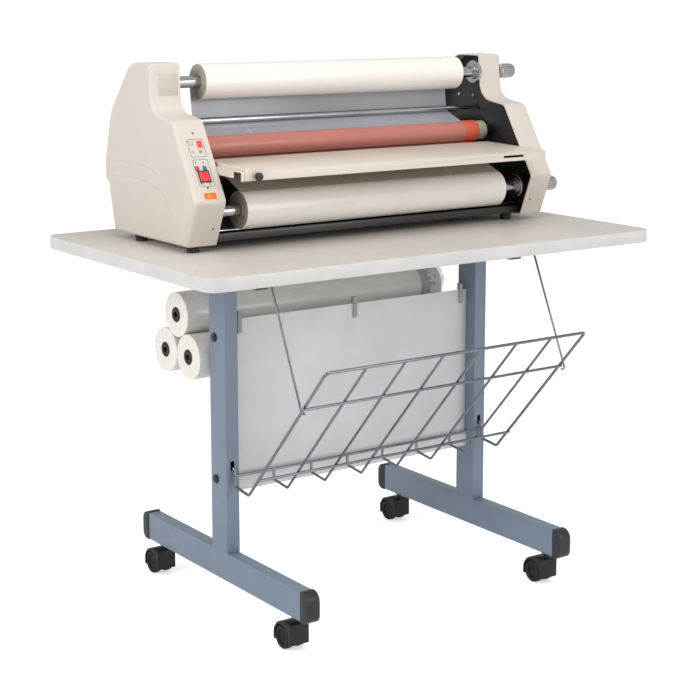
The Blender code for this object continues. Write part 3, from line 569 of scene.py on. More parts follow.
for corner in CORNERS:
    name = f"{corner}_caster"
    dressed(f"{name}_fork", PLUG_BLACK, f"{name}_hood", 0.9 * MM, 3, 40)
    low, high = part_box(f"{name}_wheels")
    centre = (low + high) / 2
    pair = [turned(f"{name}_wheel", centre, "X", wheel_profile(way), 72) for way in (-1, 1)]
    pair.append(turned("axle", centre, "X", rod_profile(5.6 * MM, 7 * MM, -7 * MM), 32))
    finished(joined(f"{name}_tyres", *pair), WHEEL_BLACK, f"{name}_rolling",
             [f"{name}_wheels"])
print("with casters:", len(made), "pieces, wheel faces", WHEEL_FACE / MM, "mm from the middle")

# %% [markdown]
# ## Back panel and spare rolls
#
# The panel is folded sheet, so only its fold needs a round. The straps hook over its
# top edge and carry three spare rolls of film.

# %% Back panel and straps
dressed("back_panel", PANEL_GREY, "back_sheet", 0.5 * MM, 2)
for where in ("left", "middle", "right"):
    dressed(f"{where}_roll_bracket", STRAP_GREY, f"{where}_roll_strap", 0.7 * MM, 2)

# %% [markdown]
# Wound film shows its turns on the end of a roll. The finish below measures how far
# each point is from the roll's axis and reads a one-dimensional noise there, so the
# end face gets fine rings, while the outside, which is all at one radius, stays plain
# and glossy. Each roll has its own axis, so the function is given the axis.

# %% Wound film
def wound_film(name, outside, end_face, axis_y, axis_z, gloss=0.22):
    film = Finish(name, outside, gloss, Coat_Weight=0.35, Coat_Roughness=0.12)
    rings = film.nodes.new("ShaderNodeTexNoise")
    rings.noise_dimensions = "1D"
    rings.inputs["Scale"].default_value = 1400.0
    rings.inputs["Detail"].default_value = 3.0
    film.links.new(film.distance((0.0, axis_y, axis_z), (0, 1, 1)), rings.inputs["W"])
    dark = tuple(c * 0.90 for c in end_face)
    ringed = film.ramp(rings.outputs["Fac"], [(0.35, dark), (0.65, end_face)])
    soft = film.ramp(film.noise(5.0, 2.0, (1, 3, 3)), [(0.3, tuple(c * 0.95 for c in outside)),
                                                      (0.7, outside)])
    end = film.maths("GREATER_THAN", film.maths("ABSOLUTE", film.facing("X")), 0.7)
    film.link(film.mixed(end, soft, ringed), "Base Color")
    film.gloss(14.0, gloss - 0.05, gloss + 0.10, (1, 6, 6))
    film.bump(rings.outputs["Fac"], 0.15, 0.1 * MM)
    return film.material


def roll_profile(low, high, bore, outer):
    """A wound roll between x = low and high: a core that stands just inside the film."""
    step = 1.2 * MM
    ends = []
    for x, way in ((high, -1), (low, 1)):
        ends.append([(bore, x + way * 2.2 * MM), (bore + 2.0 * MM, x + way * 1.4 * MM),
                     (bore + 2.6 * MM, x + way * 0.4 * MM), (outer * 0.55, x),
                     (outer - 2.0 * MM, x + way * 0.1 * MM), (outer - 0.5 * MM, x + way * 0.5 * MM),
                     (outer, x + way * step)])
    right, left = ends
    return right + left[::-1] + [right[0]]


CORE_BORE = 12.9 * MM
STORED = tint(236, 235, 231)
STORED_END = tint(240, 235, 226)
for where in ("front", "rear", "top"):
    low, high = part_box(f"{where}_spare_roll")
    (y, z), radius = circle_of(f"{where}_spare_roll")
    film = wound_film(f"{where}_stored_film", STORED, STORED_END, y, z, 0.25)
    roll = turned(f"{where}_stored_roll", (0, y, z), "X",
                  roll_profile(low.x, high.x, CORE_BORE, radius), 96)
    finished(roll, film, f"{where}_roll", [f"{where}_spare_roll"])
    for side, x, way in (("left", low.x, -1), ("right", high.x, 1)):
        plug = turned(f"{where}_{side}_core_plug", (x, y, z), Vector((way, 0, 0)),
                      [(6.0 * MM, -14 * MM), (6.0 * MM, 1.2 * MM), (8.5 * MM, 2.0 * MM),
                       (15.5 * MM, 1.6 * MM), (16.5 * MM, 0.7 * MM), (15.5 * MM, 0.5 * MM),
                       (12.6 * MM, 0.3 * MM), (12.4 * MM, -14 * MM), (6.0 * MM, -14 * MM)], 48)
        finished(plug, PLUG_BLACK, f"{where}_roll")

# %% [markdown]
# ## The wire basket
#
# Each wire of the basket is a round rod bent over a former, so every corner has a
# radius. `bent_wire` rounds the corners of a route with short arcs, gives the curve a
# round section and turns it into a mesh. The lengthwise wires are then spot welded on.

# %% Bent wire
def bent_route(points, bend, steps=5):
    """The route with each inner corner replaced by an arc of that bend radius."""
    points = [Vector(p) for p in points]
    route = [points[0]]
    for before, here, after in zip(points, points[1:], points[2:]):
        came, goes = (here - before).normalized(), (after - here).normalized()
        half = came.angle(goes, 0.0) / 2
        back = min(bend * math.tan(half), (here - before).length * 0.45, (after - here).length * 0.45)
        if half < 0.01:
            route.append(here)
            continue
        start, end = here - came * back, here + goes * back
        for k in range(steps + 1):
            t = k / steps
            route.append((1 - t) ** 2 * start + 2 * t * (1 - t) * here + t ** 2 * end)
    route.append(points[-1])
    return route


def bent_wire(name, points, radius, bend=8 * MM, closed=False):
    route = bent_route(points, bend)
    curve = bpy.data.curves.new(name, "CURVE")
    curve.dimensions = "3D"
    curve.bevel_depth = radius
    curve.bevel_resolution = 3
    curve.use_fill_caps = True
    line = curve.splines.new("POLY")
    line.points.add(len(route) - 1)
    for point, place in zip(line.points, route):
        point.co = (*place, 1.0)
    line.use_cyclic_u = closed
    pick(linked(name, curve))
    bpy.ops.object.convert(target="MESH")
    return shade(sound(bpy.context.object, SAME_PLACE), 50)


# %% [markdown]
# The basket's profile starts at its hooks in the leg slots, drops to a heel, turns
# under to the toe and climbs forward to the rim. The places below are measured from
# the hinge, which the frame gives.

# %% Basket
JOINTS = {joint["name"]: joint for joint in frame["joints"]}
HINGE = Vector(JOINTS["basket_fold"]["pos_m"])


def from_hinge(x, back, up):
    return Vector((x, HINGE.y + back, HINGE.z + up))


def basket_side(x):
    """The bent wire profile at x, from the rear down, under and forward to the rim."""
    return [from_hinge(x, *place) for place in (REAR, HEEL, TOE, RIM)]


low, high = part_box("wire_basket")
FRAME_R, RIB_R = 3.3 * MM, 2.9 * MM
HALF = high.x - FRAME_R
RIM = (low.y + FRAME_R - HINGE.y, high.z - FRAME_R - HINGE.z)
REAR, HEEL, TOE = (-0.0145, -0.0155), (-0.0145, -0.0385), (-0.0675, -0.0445)
UPPER_BAR, LOWER_BAR = (-0.2800, 0.1835), (-0.1105, -0.0020)
RIBS = 8
HOOK = -8.5 * MM
route = [from_hinge(-HALF, 0, 0), from_hinge(-HALF, HOOK, 0), *basket_side(-HALF),
         *basket_side(HALF)[::-1], from_hinge(HALF, HOOK, 0), from_hinge(HALF, 0, 0)]
wires = [bent_wire("basket_frame_wire", route, FRAME_R, 9 * MM)]
for k in range(1, RIBS - 1):
    x = -HALF + 2 * HALF * k / (RIBS - 1)
    wires.append(bent_wire("basket_rib", basket_side(x), RIB_R, 7 * MM))
for place in (REAR, LOWER_BAR, UPPER_BAR):
    ends = [from_hinge(-HALF - 1 * MM, *place), from_hinge(HALF + 1 * MM, *place)]
    wires.append(bent_wire("basket_long_wire", ends, 3.0 * MM))
finished(joined("basket_wires", *wires), CHROME_WIRE, "basket", ["wire_basket"])
print("basket wires:", len(wires))

# %% [markdown]
# Each hanging rod ends in a turned eye on a pin under the table arm, and in a small
# hook under the basket's upper wire.

# %% Hanging rods
for side, way in (("left", -1), ("right", 1)):
    top = Vector(JOINTS[f"{side}_rod_swing"]["pos_m"])
    low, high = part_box(f"{side}_basket_rod")
    foot = Vector((top.x, low.y + 3.4 * MM, low.z + 6 * MM))
    rod = bent_wire(f"{side}_hanging_rod",
                    [top, foot, foot + Vector((-way * 3 * MM, 0, -3.2 * MM)),
                     foot + Vector((-way * 8.0 * MM, 1.0 * MM, -3.6 * MM))], 2.4 * MM, 3 * MM)
    finished(rod, CHROME_WIRE, f"{side}_rod", [f"{side}_basket_rod"])
    print(side, "rod hangs from", tuple(round(v, 4) for v in top))

# %% [markdown]
# ## The side housings
#
# Each housing is one cream moulding. The cheeks and the pan behind it are dark enamel,
# and the shafts are bright steel. These are the finishes of the machine itself.

# %% Finishes of the machine
CREAM = moulded("cream_plastic", tint(209, 201, 191), 0.50, 0.10, 0.02)
TRAY_CREAM = enamel("tray_cream_enamel", tint(214, 204, 191), 0.42, 0.02)
INNER_BLACK = enamel("inner_black_enamel", tint(30, 32, 35), 0.42, 0.20)
PAN_GREY = enamel("pan_dark_enamel", tint(44, 42, 42), 0.38, 0.15)
KEY_BLACK = moulded("key_frame_black", tint(34, 30, 34), 0.35, 0.05)
MARK_INK = moulded("control_mark_ink", tint(58, 54, 60), 0.55, 0.05)
SHAFT_STEEL = turned_steel("ground_shaft_steel", (0.56, 0.56, 0.58), 0.14)
MANDREL_STEEL = turned_steel("mandrel_steel", (0.50, 0.50, 0.52), 0.14)
# The roller hubs are steel. This pale flat, non-metal colour is a painted reflection that stands in for their
# bright shine.
HUB_PAINTED_SHINE = moulded("hub_painted_shine", tint(176, 172, 150), 0.30, 0.05, 0.08)
DARK_SCREW = turned_steel("dark_screw_steel", (0.16, 0.15, 0.14), 0.35, "Z")
GEAR_STEEL = turned_steel("gear_steel", (0.30, 0.30, 0.31), 0.38)
COLLAR_BLACK = moulded("collar_black_plastic", tint(34, 34, 36), 0.40, 0.05)

# %% [markdown]
# A housing is open towards the rollers: a profile pushed sideways, with a generous round
# on its outer edge and a thin wall. Extruding the profile, bevelling its edge and giving
# it a thickness would be the usual way, but the tight corners fold over when the wall is
# added. So the skin is lofted. The profile is computed many times, each copy moved a
# little further in or sideways: from the open rim to the outer face, round its edge, and
# back along the inside of the wall. Neighbouring copies are then joined by faces.

# %% The housing's profile
SHELL_WALL, SHELL_ROUND = 2.5 * MM, 8 * MM
PROFILE = (                        # y, z and corner radius, from the bottom front
    (-0.0461, 0.8040, 0.004), (-0.0836, 0.8970, 0.014), (0.0134, 1.0535, 0.016),
    (0.0989, 1.0660, 0.042), (0.1059, 1.1645, 0.006), (0.1949, 1.1645, 0.050),
    (0.2819, 1.0600, 0.080), (0.3084, 0.9500, 0.050), (0.3069, 0.9130, 0.004),
    (0.2924, 0.9040, 0.004), (0.2629, 0.8040, 0.004))
ARC_STEP = math.radians(9)
ROUND_STEPS = 7


def rounded_profile(corners, inset=0.0):
    """The outline moved inwards by inset, with an arc of its own radius at each corner."""
    places = [Vector(corner[:2]) for corner in corners]
    ways = [(places[(i + 1) % len(places)] - p).normalized() for i, p in enumerate(places)]
    outline = []
    for i, (place, (_, _, radius)) in enumerate(zip(places, corners)):
        came, goes = ways[i - 1], ways[i]
        turn = math.atan2(came.cross(goes), came.dot(goes))
        inward = Vector((came.y, -came.x)), Vector((goes.y, -goes.x))
        place = place + (inward[0] + inward[1]) / (1 + inward[0].dot(inward[1])) * inset
        own = max(radius + (inset if turn > 0 else -inset), 0.4 * MM)
        start = place - came * own * math.tan(abs(turn) / 2)
        arm = Vector((came.y, -came.x)) * math.copysign(own, turn)
        steps = max(2, round(abs(turn) / ARC_STEP))
        for k in range(steps + 1):
            angle = turn * k / steps
            outline.append(start - arm + Vector((arm.x * math.cos(angle) - arm.y * math.sin(angle),
                                                 arm.x * math.sin(angle) + arm.y * math.cos(angle))))
    return outline


def housing_shell(name, outer, rim):
    """A loft through copies of the profile: outside, round edge, then back along the inside.

    outer is the x of the closed side and rim the x of the open one."""
    way = math.copysign(1, rim - outer)
    quarter = [math.radians(90 * k / ROUND_STEPS) for k in range(ROUND_STEPS + 1)]
    loops = [(rim, 0.0)]
    loops += [(outer + way * SHELL_ROUND * (1 - math.sin(a)), SHELL_ROUND * (1 - math.cos(a)))
              for a in quarter]
    inner = SHELL_ROUND - SHELL_WALL
    loops += [(outer + way * (SHELL_WALL + inner * (1 - math.sin(a))),
               SHELL_WALL + inner * (1 - math.cos(a))) for a in quarter[::-1]]
    loops.append((rim, SHELL_WALL))
    verts, faces = [], []
    for k, (x, inset) in enumerate(loops):
        outline = rounded_profile(PROFILE, inset)
        first, count = len(verts), len(outline)
        after = first + count if k + 1 < len(loops) else 0
        verts += [(x, y, z) for y, z in outline]
        ring = [(i, (i + 1) % count) for i in range(count)]
        if k == len(quarter):
            faces.append([first + i for i in range(count)][::-1])
            faces.append([after + i for i in range(count)])
        else:
            faces += [(first + j, first + i, after + i, after + j) for i, j in ring]
    shell = from_points(name, verts, (), faces)
    if way > 0:
        start_edit(shell)
        bpy.ops.mesh.select_all(action="SELECT")
        bpy.ops.mesh.flip_normals()
        stop_edit()
    return shell


LEAN = {"left": 8 * MM, "right": -3 * MM}       # how far the top stands over from the foot
LEAN_FROM, LEAN_TO = 0.8040, 1.1645


def leaned(obj, side):
    """Draw a piece in by its height, as the housings are, so what is on them goes along."""
    for vertex in obj.data.vertices:
        vertex.co.x += LEAN[side] * (vertex.co.z - LEAN_FROM) / (LEAN_TO - LEAN_FROM)
    return obj


def drilled(obj, cutters):
    """Cut the joined cutters out of obj."""
    tool = joined("cutter", *cutters)
    apply_modifier(obj, "BOOLEAN", operation="DIFFERENCE", object=tool, solver="EXACT",
                   use_self=True)
    bpy.data.objects.remove(tool)
    return obj


# %% [markdown]
# The switches sit on the front slope. A piece for the slope is modelled lying flat at
# the origin, X across, Y up the slope and Z outwards, and `on_slope` lays it in place.
# The left housing has a window for each key, a little larger than the key. A window is
# cut by a block that is laid on the slope in the same way.

# %% The control slope
def flank(corner):
    """The lower end and the upward direction of the profile's side that starts at a corner."""
    low, high = Vector(PROFILE[corner][:2]), Vector(PROFILE[corner + 1][:2])
    return low, (high - low).normalized()


FRONT, SLOPE, NECK = flank(0), flank(1), flank(3)


def spot(side, x, along):
    """The place at x on a side of the profile, at a distance up from its lower end."""
    low, up = side
    return (x, *(low + up * along))


def on_slope(obj, x, along, side=SLOPE):
    """Lay a piece on the left housing's slope, or on another of its sides."""
    up = side[1]
    turn = Matrix(((1, 0, 0), (0, up.x, -up.y), (0, up.y, up.x))).to_4x4()
    turn.translation = spot(side, x, along)
    obj.data.transform(turn)
    obj.data.update()
    return leaned(obj, "left")


KEYS = {                          # x, way up the slope, width, height
    "power_rocker": (-0.4176, 0.0140, 0.0270, 0.0130),
    "run_rocker": (-0.4080, 0.1290, 0.0120, 0.0150),
    "direction_rocker": (-0.4177, 0.0575, 0.0200, 0.0205),
    "stop_button": (-0.4287, 0.0760, 0.0075, 0.0095),
    "run_button": (-0.4115, 0.0760, 0.0075, 0.0095),
}
KEY_CLEAR, KEY_DEPTH = 0.5 * MM, 10 * MM

LEFT_LOW, LEFT_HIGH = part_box("left_housing")
RIGHT_LOW, RIGHT_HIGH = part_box("right_housing")
left_shell = leaned(housing_shell("left_housing_shell", LEFT_LOW.x, LEFT_HIGH.x), "left")
right_shell = leaned(housing_shell("right_housing_shell", RIGHT_HIGH.x, RIGHT_LOW.x), "right")
windows = []
for x, along, width, height in KEYS.values():
    half_w, half_h = width / 2 + KEY_CLEAR, height / 2 + KEY_CLEAR
    windows.append(on_slope(block("window", (-half_w, -half_h, -6 * MM), (half_w, half_h, 6 * MM)),
                            x, along))
drilled(left_shell, windows)

# %% [markdown]
# The outer side of each housing carries two shallow moulded lines that run forward
# from the back and turn down. They are cut as half-round grooves by thin bent rods
# that lie with their middles on the surface.

# %% Moulded lines on the housings
LINES = (((0.3150, 0.9545), (0.1900, 0.9572), (0.1330, 0.9556), (0.0960, 0.9496), (0.0760, 0.9400)),
         ((0.3150, 0.9208), (0.1894, 0.9257), (0.1127, 0.9236), (0.0616, 0.9102), (0.0335, 0.8892),
          (0.0170, 0.8648), (0.0075, 0.8370)))
for side, shell, face in (("left", left_shell, LEFT_LOW.x), ("right", right_shell, RIGHT_HIGH.x)):
    rods = [leaned(bent_wire("groove", [(face, y, z) for y, z in line], 0.7 * MM, 40 * MM), side)
            for line in LINES]
    drilled(shell, rods)

# %% [markdown]
# The right housing is drilled for the two mandrels, whose threaded ends come out
# through it to their knobs.

# %% Holes for the mandrels
MANDRELS = {where: Vector((0, *circle_of(f"{where}_mandrel")[0])) for where in ("top", "bottom")}
BORE = 8.2 * MM
drilled(right_shell, [turned("bore", place, "X",
                             rod_profile(BORE, RIGHT_HIGH.x - 10 * MM, RIGHT_HIGH.x + 10 * MM), 48)
                      for place in MANDRELS.values()])
for side, shell in (("left", left_shell), ("right", right_shell)):
    shade(shell, 40)
    finished(shell, CREAM, ROOT, [f"{side}_housing"])
print("housing faces:", len(left_shell.data.polygons), len(right_shell.data.polygons))

# %% [markdown]
# ## Switches
#
# A lit rocker is a clear coloured cap over a lamp. Its finish takes a little emission, of a brighter colour at the
# middle of the cap, because the lamp is behind it. On the direction rocker that brighter middle is also a painted
# highlight.

# %% Lens finishes
def lens(name, colour, glow, glow_and_highlight_colour, centre=(0, 0, 0), reach=9 * MM):
    cap = Finish(name, colour, 0.22, Coat_Weight=0.5, Coat_Roughness=0.08)
    cap.drift(160.0, 0.10)
    cap.gloss(300.0, 0.16, 0.30)
    near = cap.ramp(cap.spread(cap.distance(centre), 1.0, 0.0, 0.0, reach),
                    [(0.0, colour), (0.5, colour), (1.0, glow_and_highlight_colour)])
    cap.link(near, "Emission Color")
    cap.set("Emission Strength", glow)
    return cap.material


# The direction rocker's cap: its brighter middle is lamp glow and a painted highlight together.
RED_LENS_PAINTED_HIGHLIGHT = lens("red_lens", tint(228, 52, 44), 0.35, tint(250, 90, 70),
                spot(SLOPE, *KEYS["direction_rocker"][:2]))
RED_CAP = lens("red_switch_cap", tint(232, 70, 66), 0.30, tint(250, 110, 96),
               spot(SLOPE, *KEYS["run_rocker"][:2]))
AMBER_LENS = lens("amber_lens", tint(236, 84, 22), 0.9, tint(255, 196, 60),
                  spot(SLOPE, *KEYS["power_rocker"][:2]), 12 * MM)
RED_BUTTON = moulded("red_button_plastic", tint(196, 52, 54), 0.34, 0.04)
TEAL_BUTTON = moulded("teal_button_plastic", tint(34, 124, 146), 0.34, 0.04)
DARK_LED = lens("dark_led", tint(52, 14, 18), 0.05, tint(90, 20, 20))


# %% [markdown]
# A rocker's cap is pressed in at one end and stands up at the other, and its face is
# dished. Starting from a block, the upper face is divided and its rows are moved to
# that curve, and the rim is rounded afterwards.

# %% Rockers and buttons
def rocker_cap(name, width, height, proud, dish, tilt):
    """A switch cap lying flat at the origin, its face dished along Y."""
    cap = block(name, (-width / 2, -height / 2, -KEY_DEPTH), (width / 2, height / 2, proud))
    start_edit(cap)
    select_faces(cap, lambda centre, normal: normal.z > 0.9)
    bpy.ops.mesh.subdivide(number_cuts=9)
    stop_edit()
    for vertex in cap.data.vertices:
        if vertex.co.z > 0:
            way = vertex.co.y / (height / 2)
            vertex.co.z += dish * (way ** 2 - 1) + tilt * way
    return round_edges(cap, 0.6 * MM, 3, 40)


def frame_ring(name, width, height, border, proud):
    """A flat square ring round a switch, with rounded edges."""
    half_w, half_h = width / 2 + KEY_CLEAR * 0.4, height / 2 + KEY_CLEAR * 0.4
    ring = block(name, (-half_w - border, -half_h - border, 0.1 * MM),
                 (half_w + border, half_h + border, proud))
    hole = block("hole", (-half_w, -half_h, -1 * MM), (half_w, half_h, proud + 1 * MM))
    drilled(ring, [hole])
    return round_edges(ring, 0.35 * MM, 2, 40)


CAPS = {"power_rocker": (AMBER_LENS, 2.2 * MM, 0.5 * MM, 0.3 * MM),
        "run_rocker": (RED_CAP, 2.2 * MM, 0.6 * MM, 0.5 * MM),
        "direction_rocker": (RED_LENS_PAINTED_HIGHLIGHT, 2.5 * MM, 0.8 * MM, 0.0)}
for name, (finish, proud, dish, tilt) in CAPS.items():
    x, along, width, height = KEYS[name]
    cap = on_slope(rocker_cap(f"{name}_cap", width, height, proud, dish, tilt), x, along)
    finished(cap, finish, f"{name}_key", [name])
BORDERS = {"direction_rocker": (2.7 * MM, 1.4 * MM, KEY_BLACK, "black_plastic"),
           "power_rocker": (1.6 * MM, 0.9 * MM, TRAY_CREAM, "cream_plastic"),
           "run_rocker": (0.9 * MM, 0.8 * MM, CREAM, "cream_plastic")}
for name, (border, proud, finish, slot) in BORDERS.items():
    x, along, width, height = KEYS[name]
    ring = on_slope(frame_ring(f"{name}_frame", width, height, border, proud), x, along)
    finished(ring, finish, ROOT)
for name, finish in (("stop_button", RED_BUTTON), ("run_button", TEAL_BUTTON)):
    x, along, width, height = KEYS[name]
    pad = block(f"{name}_pad", (-width / 2, -height / 2, -KEY_DEPTH), (width / 2, height / 2, 2 * MM))
    round_edges(pad, 0.9 * MM, 4, 40)
    finished(on_slope(pad, x, along), finish, f"{name}_key", [name])
print("keys on the slope:", sorted(KEYS))

# %% [markdown]
# Thin printed frames and plain signs mark the switches: a bent arrow and a circle for
# the run switch, two half circles for the two directions. None of them is a letter. Each
# is a thin bent wire, and all of them are flattened until they hardly stand proud.

# %% Printed marks and indicator lamps
INK_R = 0.42 * MM
UPPER_BOX = (-0.4335, -0.3985, 0.1015, 0.1410)      # x from and to, way up the slope from and to
LOWER_BOX = (-0.4340, -0.3998, 0.0352, 0.0955)


def mark(points, bend=2 * MM, closed=False):
    return bent_wire("mark", [(x, along, 0.0) for x, along in points], INK_R, bend, closed)


def box_mark(left, right, low, high):
    cut = 2 * MM
    return mark([(left + cut, low), (right - cut, low), (right, low + cut), (right, high - cut),
                 (right - cut, high), (left + cut, high), (left, high - cut), (left, low + cut)],
                1 * MM, True)


def arc_mark(x, along, radius, start, end, steps=14):
    angles = [math.radians(start + (end - start) * k / steps) for k in range(steps + 1)]
    return mark([(x + radius * math.cos(a), along + radius * math.sin(a)) for a in angles], 0.1 * MM)


marks = [box_mark(*UPPER_BOX), box_mark(*LOWER_BOX)]
marks += [mark([(-0.4305, 0.1375), (-0.4290, 0.1285), (-0.4225, 0.1275), (-0.4235, 0.1365)]),
          mark([(-0.4300, 0.1130), (-0.4250, 0.1130)]), mark([(-0.4275, 0.1105), (-0.4275, 0.1155)]),
          arc_mark(-0.4097, 0.1127, 3.6 * MM, 0, 360), arc_mark(-0.4097, 0.1127, 1.4 * MM, 0, 360),
          arc_mark(-0.4262, 0.0425, 3.6 * MM, 100, 320), arc_mark(-0.4105, 0.0425, 3.6 * MM, 220, 440),
          mark([(-0.4290, 0.0425), (-0.4240, 0.0425)]), mark([(-0.4130, 0.0425), (-0.4085, 0.0425)])]
printed = joined("control_marks", *marks)
for vertex in printed.data.vertices:
    vertex.co.z = vertex.co.z * 0.4 + 0.12 * MM
finished(on_slope(printed, 0.0, 0.0), MARK_INK, ROOT)
for k, (x, along) in enumerate(((-0.4282, 0.0895), (-0.4110, 0.0895))):
    lamp = turned(f"indicator_lamp_{k + 1}", (0, 0, 0), "Z",
                  [(0.0, 1.3 * MM), (0.8 * MM, 1.1 * MM), (1.3 * MM, 0.5 * MM), (1.4 * MM, 0.1 * MM),
                   (0.0, 0.1 * MM)], 32)
    finished(on_slope(lamp, x, along), DARK_LED, ROOT)

# %% [markdown]
# Small pan-head screws hold the housing to its cheek. A screw is a turned head with a
# slot cut across it.

# %% Screws
def screw_head(name, radius, height, slot_turn=0.0):
    """A slotted head on the plane z = 0, facing +Z."""
    head = turned(name, (0, 0, 0), "Z", [(0.0, height), (radius * 0.55, height * 0.94),
                                          (radius * 0.88, height * 0.62), (radius, height * 0.18),
                                          (radius, 0.02 * MM), (0.0, 0.02 * MM)], 40)
    slot = block("slot", (-radius * 1.2, -radius * 0.13, height * 0.55),
                 (radius * 1.2, radius * 0.13, height * 1.6))
    slot.data.transform(Matrix.Rotation(slot_turn, 4, "Z"))
    drilled(head, [slot])
    return shade(head, 40)


def faced(obj, centre, way):
    """Turn a piece that faces +Z to face along way, with its foot at centre."""
    turn = Vector(way).to_track_quat("Z", "Y").to_matrix().to_4x4()
    turn.translation = Vector(centre)
    obj.data.transform(turn)
    return obj


for k, (x, along) in enumerate(((-0.4157, 0.1545), (-0.4180, 0.0318))):
    head = screw_head(f"slope_screw_{k + 1}", 2.4 * MM, 1.2 * MM, 0.7 + k)
    finished(on_slope(head, x, along), DARK_SCREW, ROOT)
FRONT_OUT = Vector((0, -FRONT[1].y, FRONT[1].x))
for side, x in (("left", LEFT_HIGH.x - 16 * MM), ("right", RIGHT_LOW.x + 16 * MM)):
    head = screw_head(f"{side}_front_screw", 2.4 * MM, 1.2 * MM, 0.4)
    finished(faced(head, spot(FRONT, x, 39 * MM), FRONT_OUT), DARK_SCREW, ROOT)

# %% [markdown]
# A thin plate with nothing on it stands for the printed plate on the left neck.

# %% Blank plate on the neck
PLATE_GREY = moulded("blank_plate", tint(196, 186, 176), 0.45, 0.03, 0.03)
HALF_PLATE = 22.5 * MM
plate = block("neck_plate", (-HALF_PLATE, -HALF_PLATE, 0.05 * MM), (HALF_PLATE, HALF_PLATE, 0.35 * MM))
round_edges(plate, 0.12 * MM, 2)
finished(on_slope(plate, -0.4135, 55 * MM, NECK), PLATE_GREY, ROOT)

# %% [markdown]
# ## Cheeks, floor and feet
#
# Behind the housings stand two black steel cheeks with clearance holes for every shaft,
# tied by the base pan and a bright bar. The feet are turned rubber with a groove, so
# that each is seen as a separate cup on the pan's underside.

# %% Cheeks, base pan and feet
for side in SIDES:
    dressed(f"{side}_side_plate", INNER_BLACK, f"{side}_cheek", 0.5 * MM, 2)
dressed("base_pan", PAN_GREY, "base_tray", 0.6 * MM, 2)
RIGHT_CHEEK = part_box("right_side_plate")[0].x
LEFT_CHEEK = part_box("left_side_plate")[1].x
for k, (y, z) in enumerate(((0.2099, 1.067), (0.1569, 1.067))):
    for side, x, way in (("right", RIGHT_CHEEK, (-1, 0, 0)), ("left", LEFT_CHEEK, (1, 0, 0))):
        head = faced(screw_head(f"{side}_cheek_screw_{k + 1}", 4.2 * MM, 2.6 * MM, k), (x, y, z), way)
        finished(head, ZINC, ROOT)
for corner in CORNERS:
    low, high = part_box(f"{corner}_rubber_foot")
    middle = ((low.x + high.x) / 2, (low.y + high.y) / 2, 0)
    foot = turned(f"{corner}_machine_foot", middle, "Z",
                  [(0.0, high.z), (13.5 * MM, high.z), (14.5 * MM, high.z - 1 * MM),
                   (14.5 * MM, high.z - 3.2 * MM), (12.2 * MM, high.z - 4.4 * MM),
                   (12.8 * MM, low.z + 1.2 * MM), (12.0 * MM, low.z), (5 * MM, low.z),
                   (4 * MM, low.z + 1.5 * MM), (0.0, low.z + 1.5 * MM)], 48)
    finished(foot, FOOT_RUBBER, ROOT, [f"{corner}_rubber_foot"])
print("pieces up to the feet:", len(made))

# %% [markdown]
# ## Film supplies
#
# A wide roll of film sits on each mandrel. The near end of a mandrel runs in a bearing
# in the left cheek. The far end carries a turned hub disc and goes on through the
# housing to a knurled friction knob.

# %% Supply rolls on their mandrels
SUPPLY = tint(240, 236, 228)
SUPPLY_END = tint(178, 172, 152)
HUB_FACE = 0.4165                 # x of the hub disc's face, just past the roll's end
for where in ("top", "bottom"):
    low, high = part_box(f"{where}_film_roll")
    axis = MANDRELS[where]
    film = wound_film(f"{where}_supply_film", SUPPLY, SUPPLY_END, axis.y, axis.z, 0.20)
    roll = turned(f"{where}_supply_roll", axis, "X",
                  roll_profile(low.x, high.x, 12.6 * MM, (high.z - low.z) / 2), 128)
    finished(roll, film, f"{where}_supply", [f"{where}_film_roll"])
    rod_low, rod_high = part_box(f"{where}_mandrel")
    bar, spindle, disc = 12.5 * MM, 6.0 * MM, 26.5 * MM
    face, disc_high = HUB_FACE, HUB_FACE + 7 * MM
    profile = [(0.0, rod_low.x), (bar - 1.5 * MM, rod_low.x), (bar, rod_low.x + 1.5 * MM),
               (bar, face - 6 * MM), (bar + 4 * MM, face - 6 * MM), (bar + 4.5 * MM, face - 5.4 * MM),
               (bar + 4.5 * MM, face - 0.2 * MM), (bar + 5.2 * MM, face + 0.3 * MM),
               (disc - 5.5 * MM, face + 0.3 * MM), (disc - 4.6 * MM, face - 0.5 * MM),
               (disc - 1.2 * MM, face - 0.5 * MM), (disc, face + 0.6 * MM),
               (disc, disc_high - 0.8 * MM),
               (disc - 0.8 * MM, disc_high), (bar, disc_high), (bar, disc_high + 8 * MM),
               (spindle + 1 * MM, disc_high + 9 * MM), (spindle, disc_high + 10 * MM),
               (spindle, rod_high.x - 0.8 * MM), (spindle - 0.8 * MM, rod_high.x), (0.0, rod_high.x)]
    rod = turned(f"{where}_supply_mandrel", axis, "X", profile, 96)
    finished(rod, MANDREL_STEEL, f"{where}_supply", [f"{where}_mandrel"])
    print(where, "roll is", round((high.x - low.x) / MM), "mm wide")

# %% [markdown]
# The knobs are bright turned metal with straight ribs. Each is turned with ten columns
# of points to a rib, and the grooves are then drawn in, as on the bolt caps.

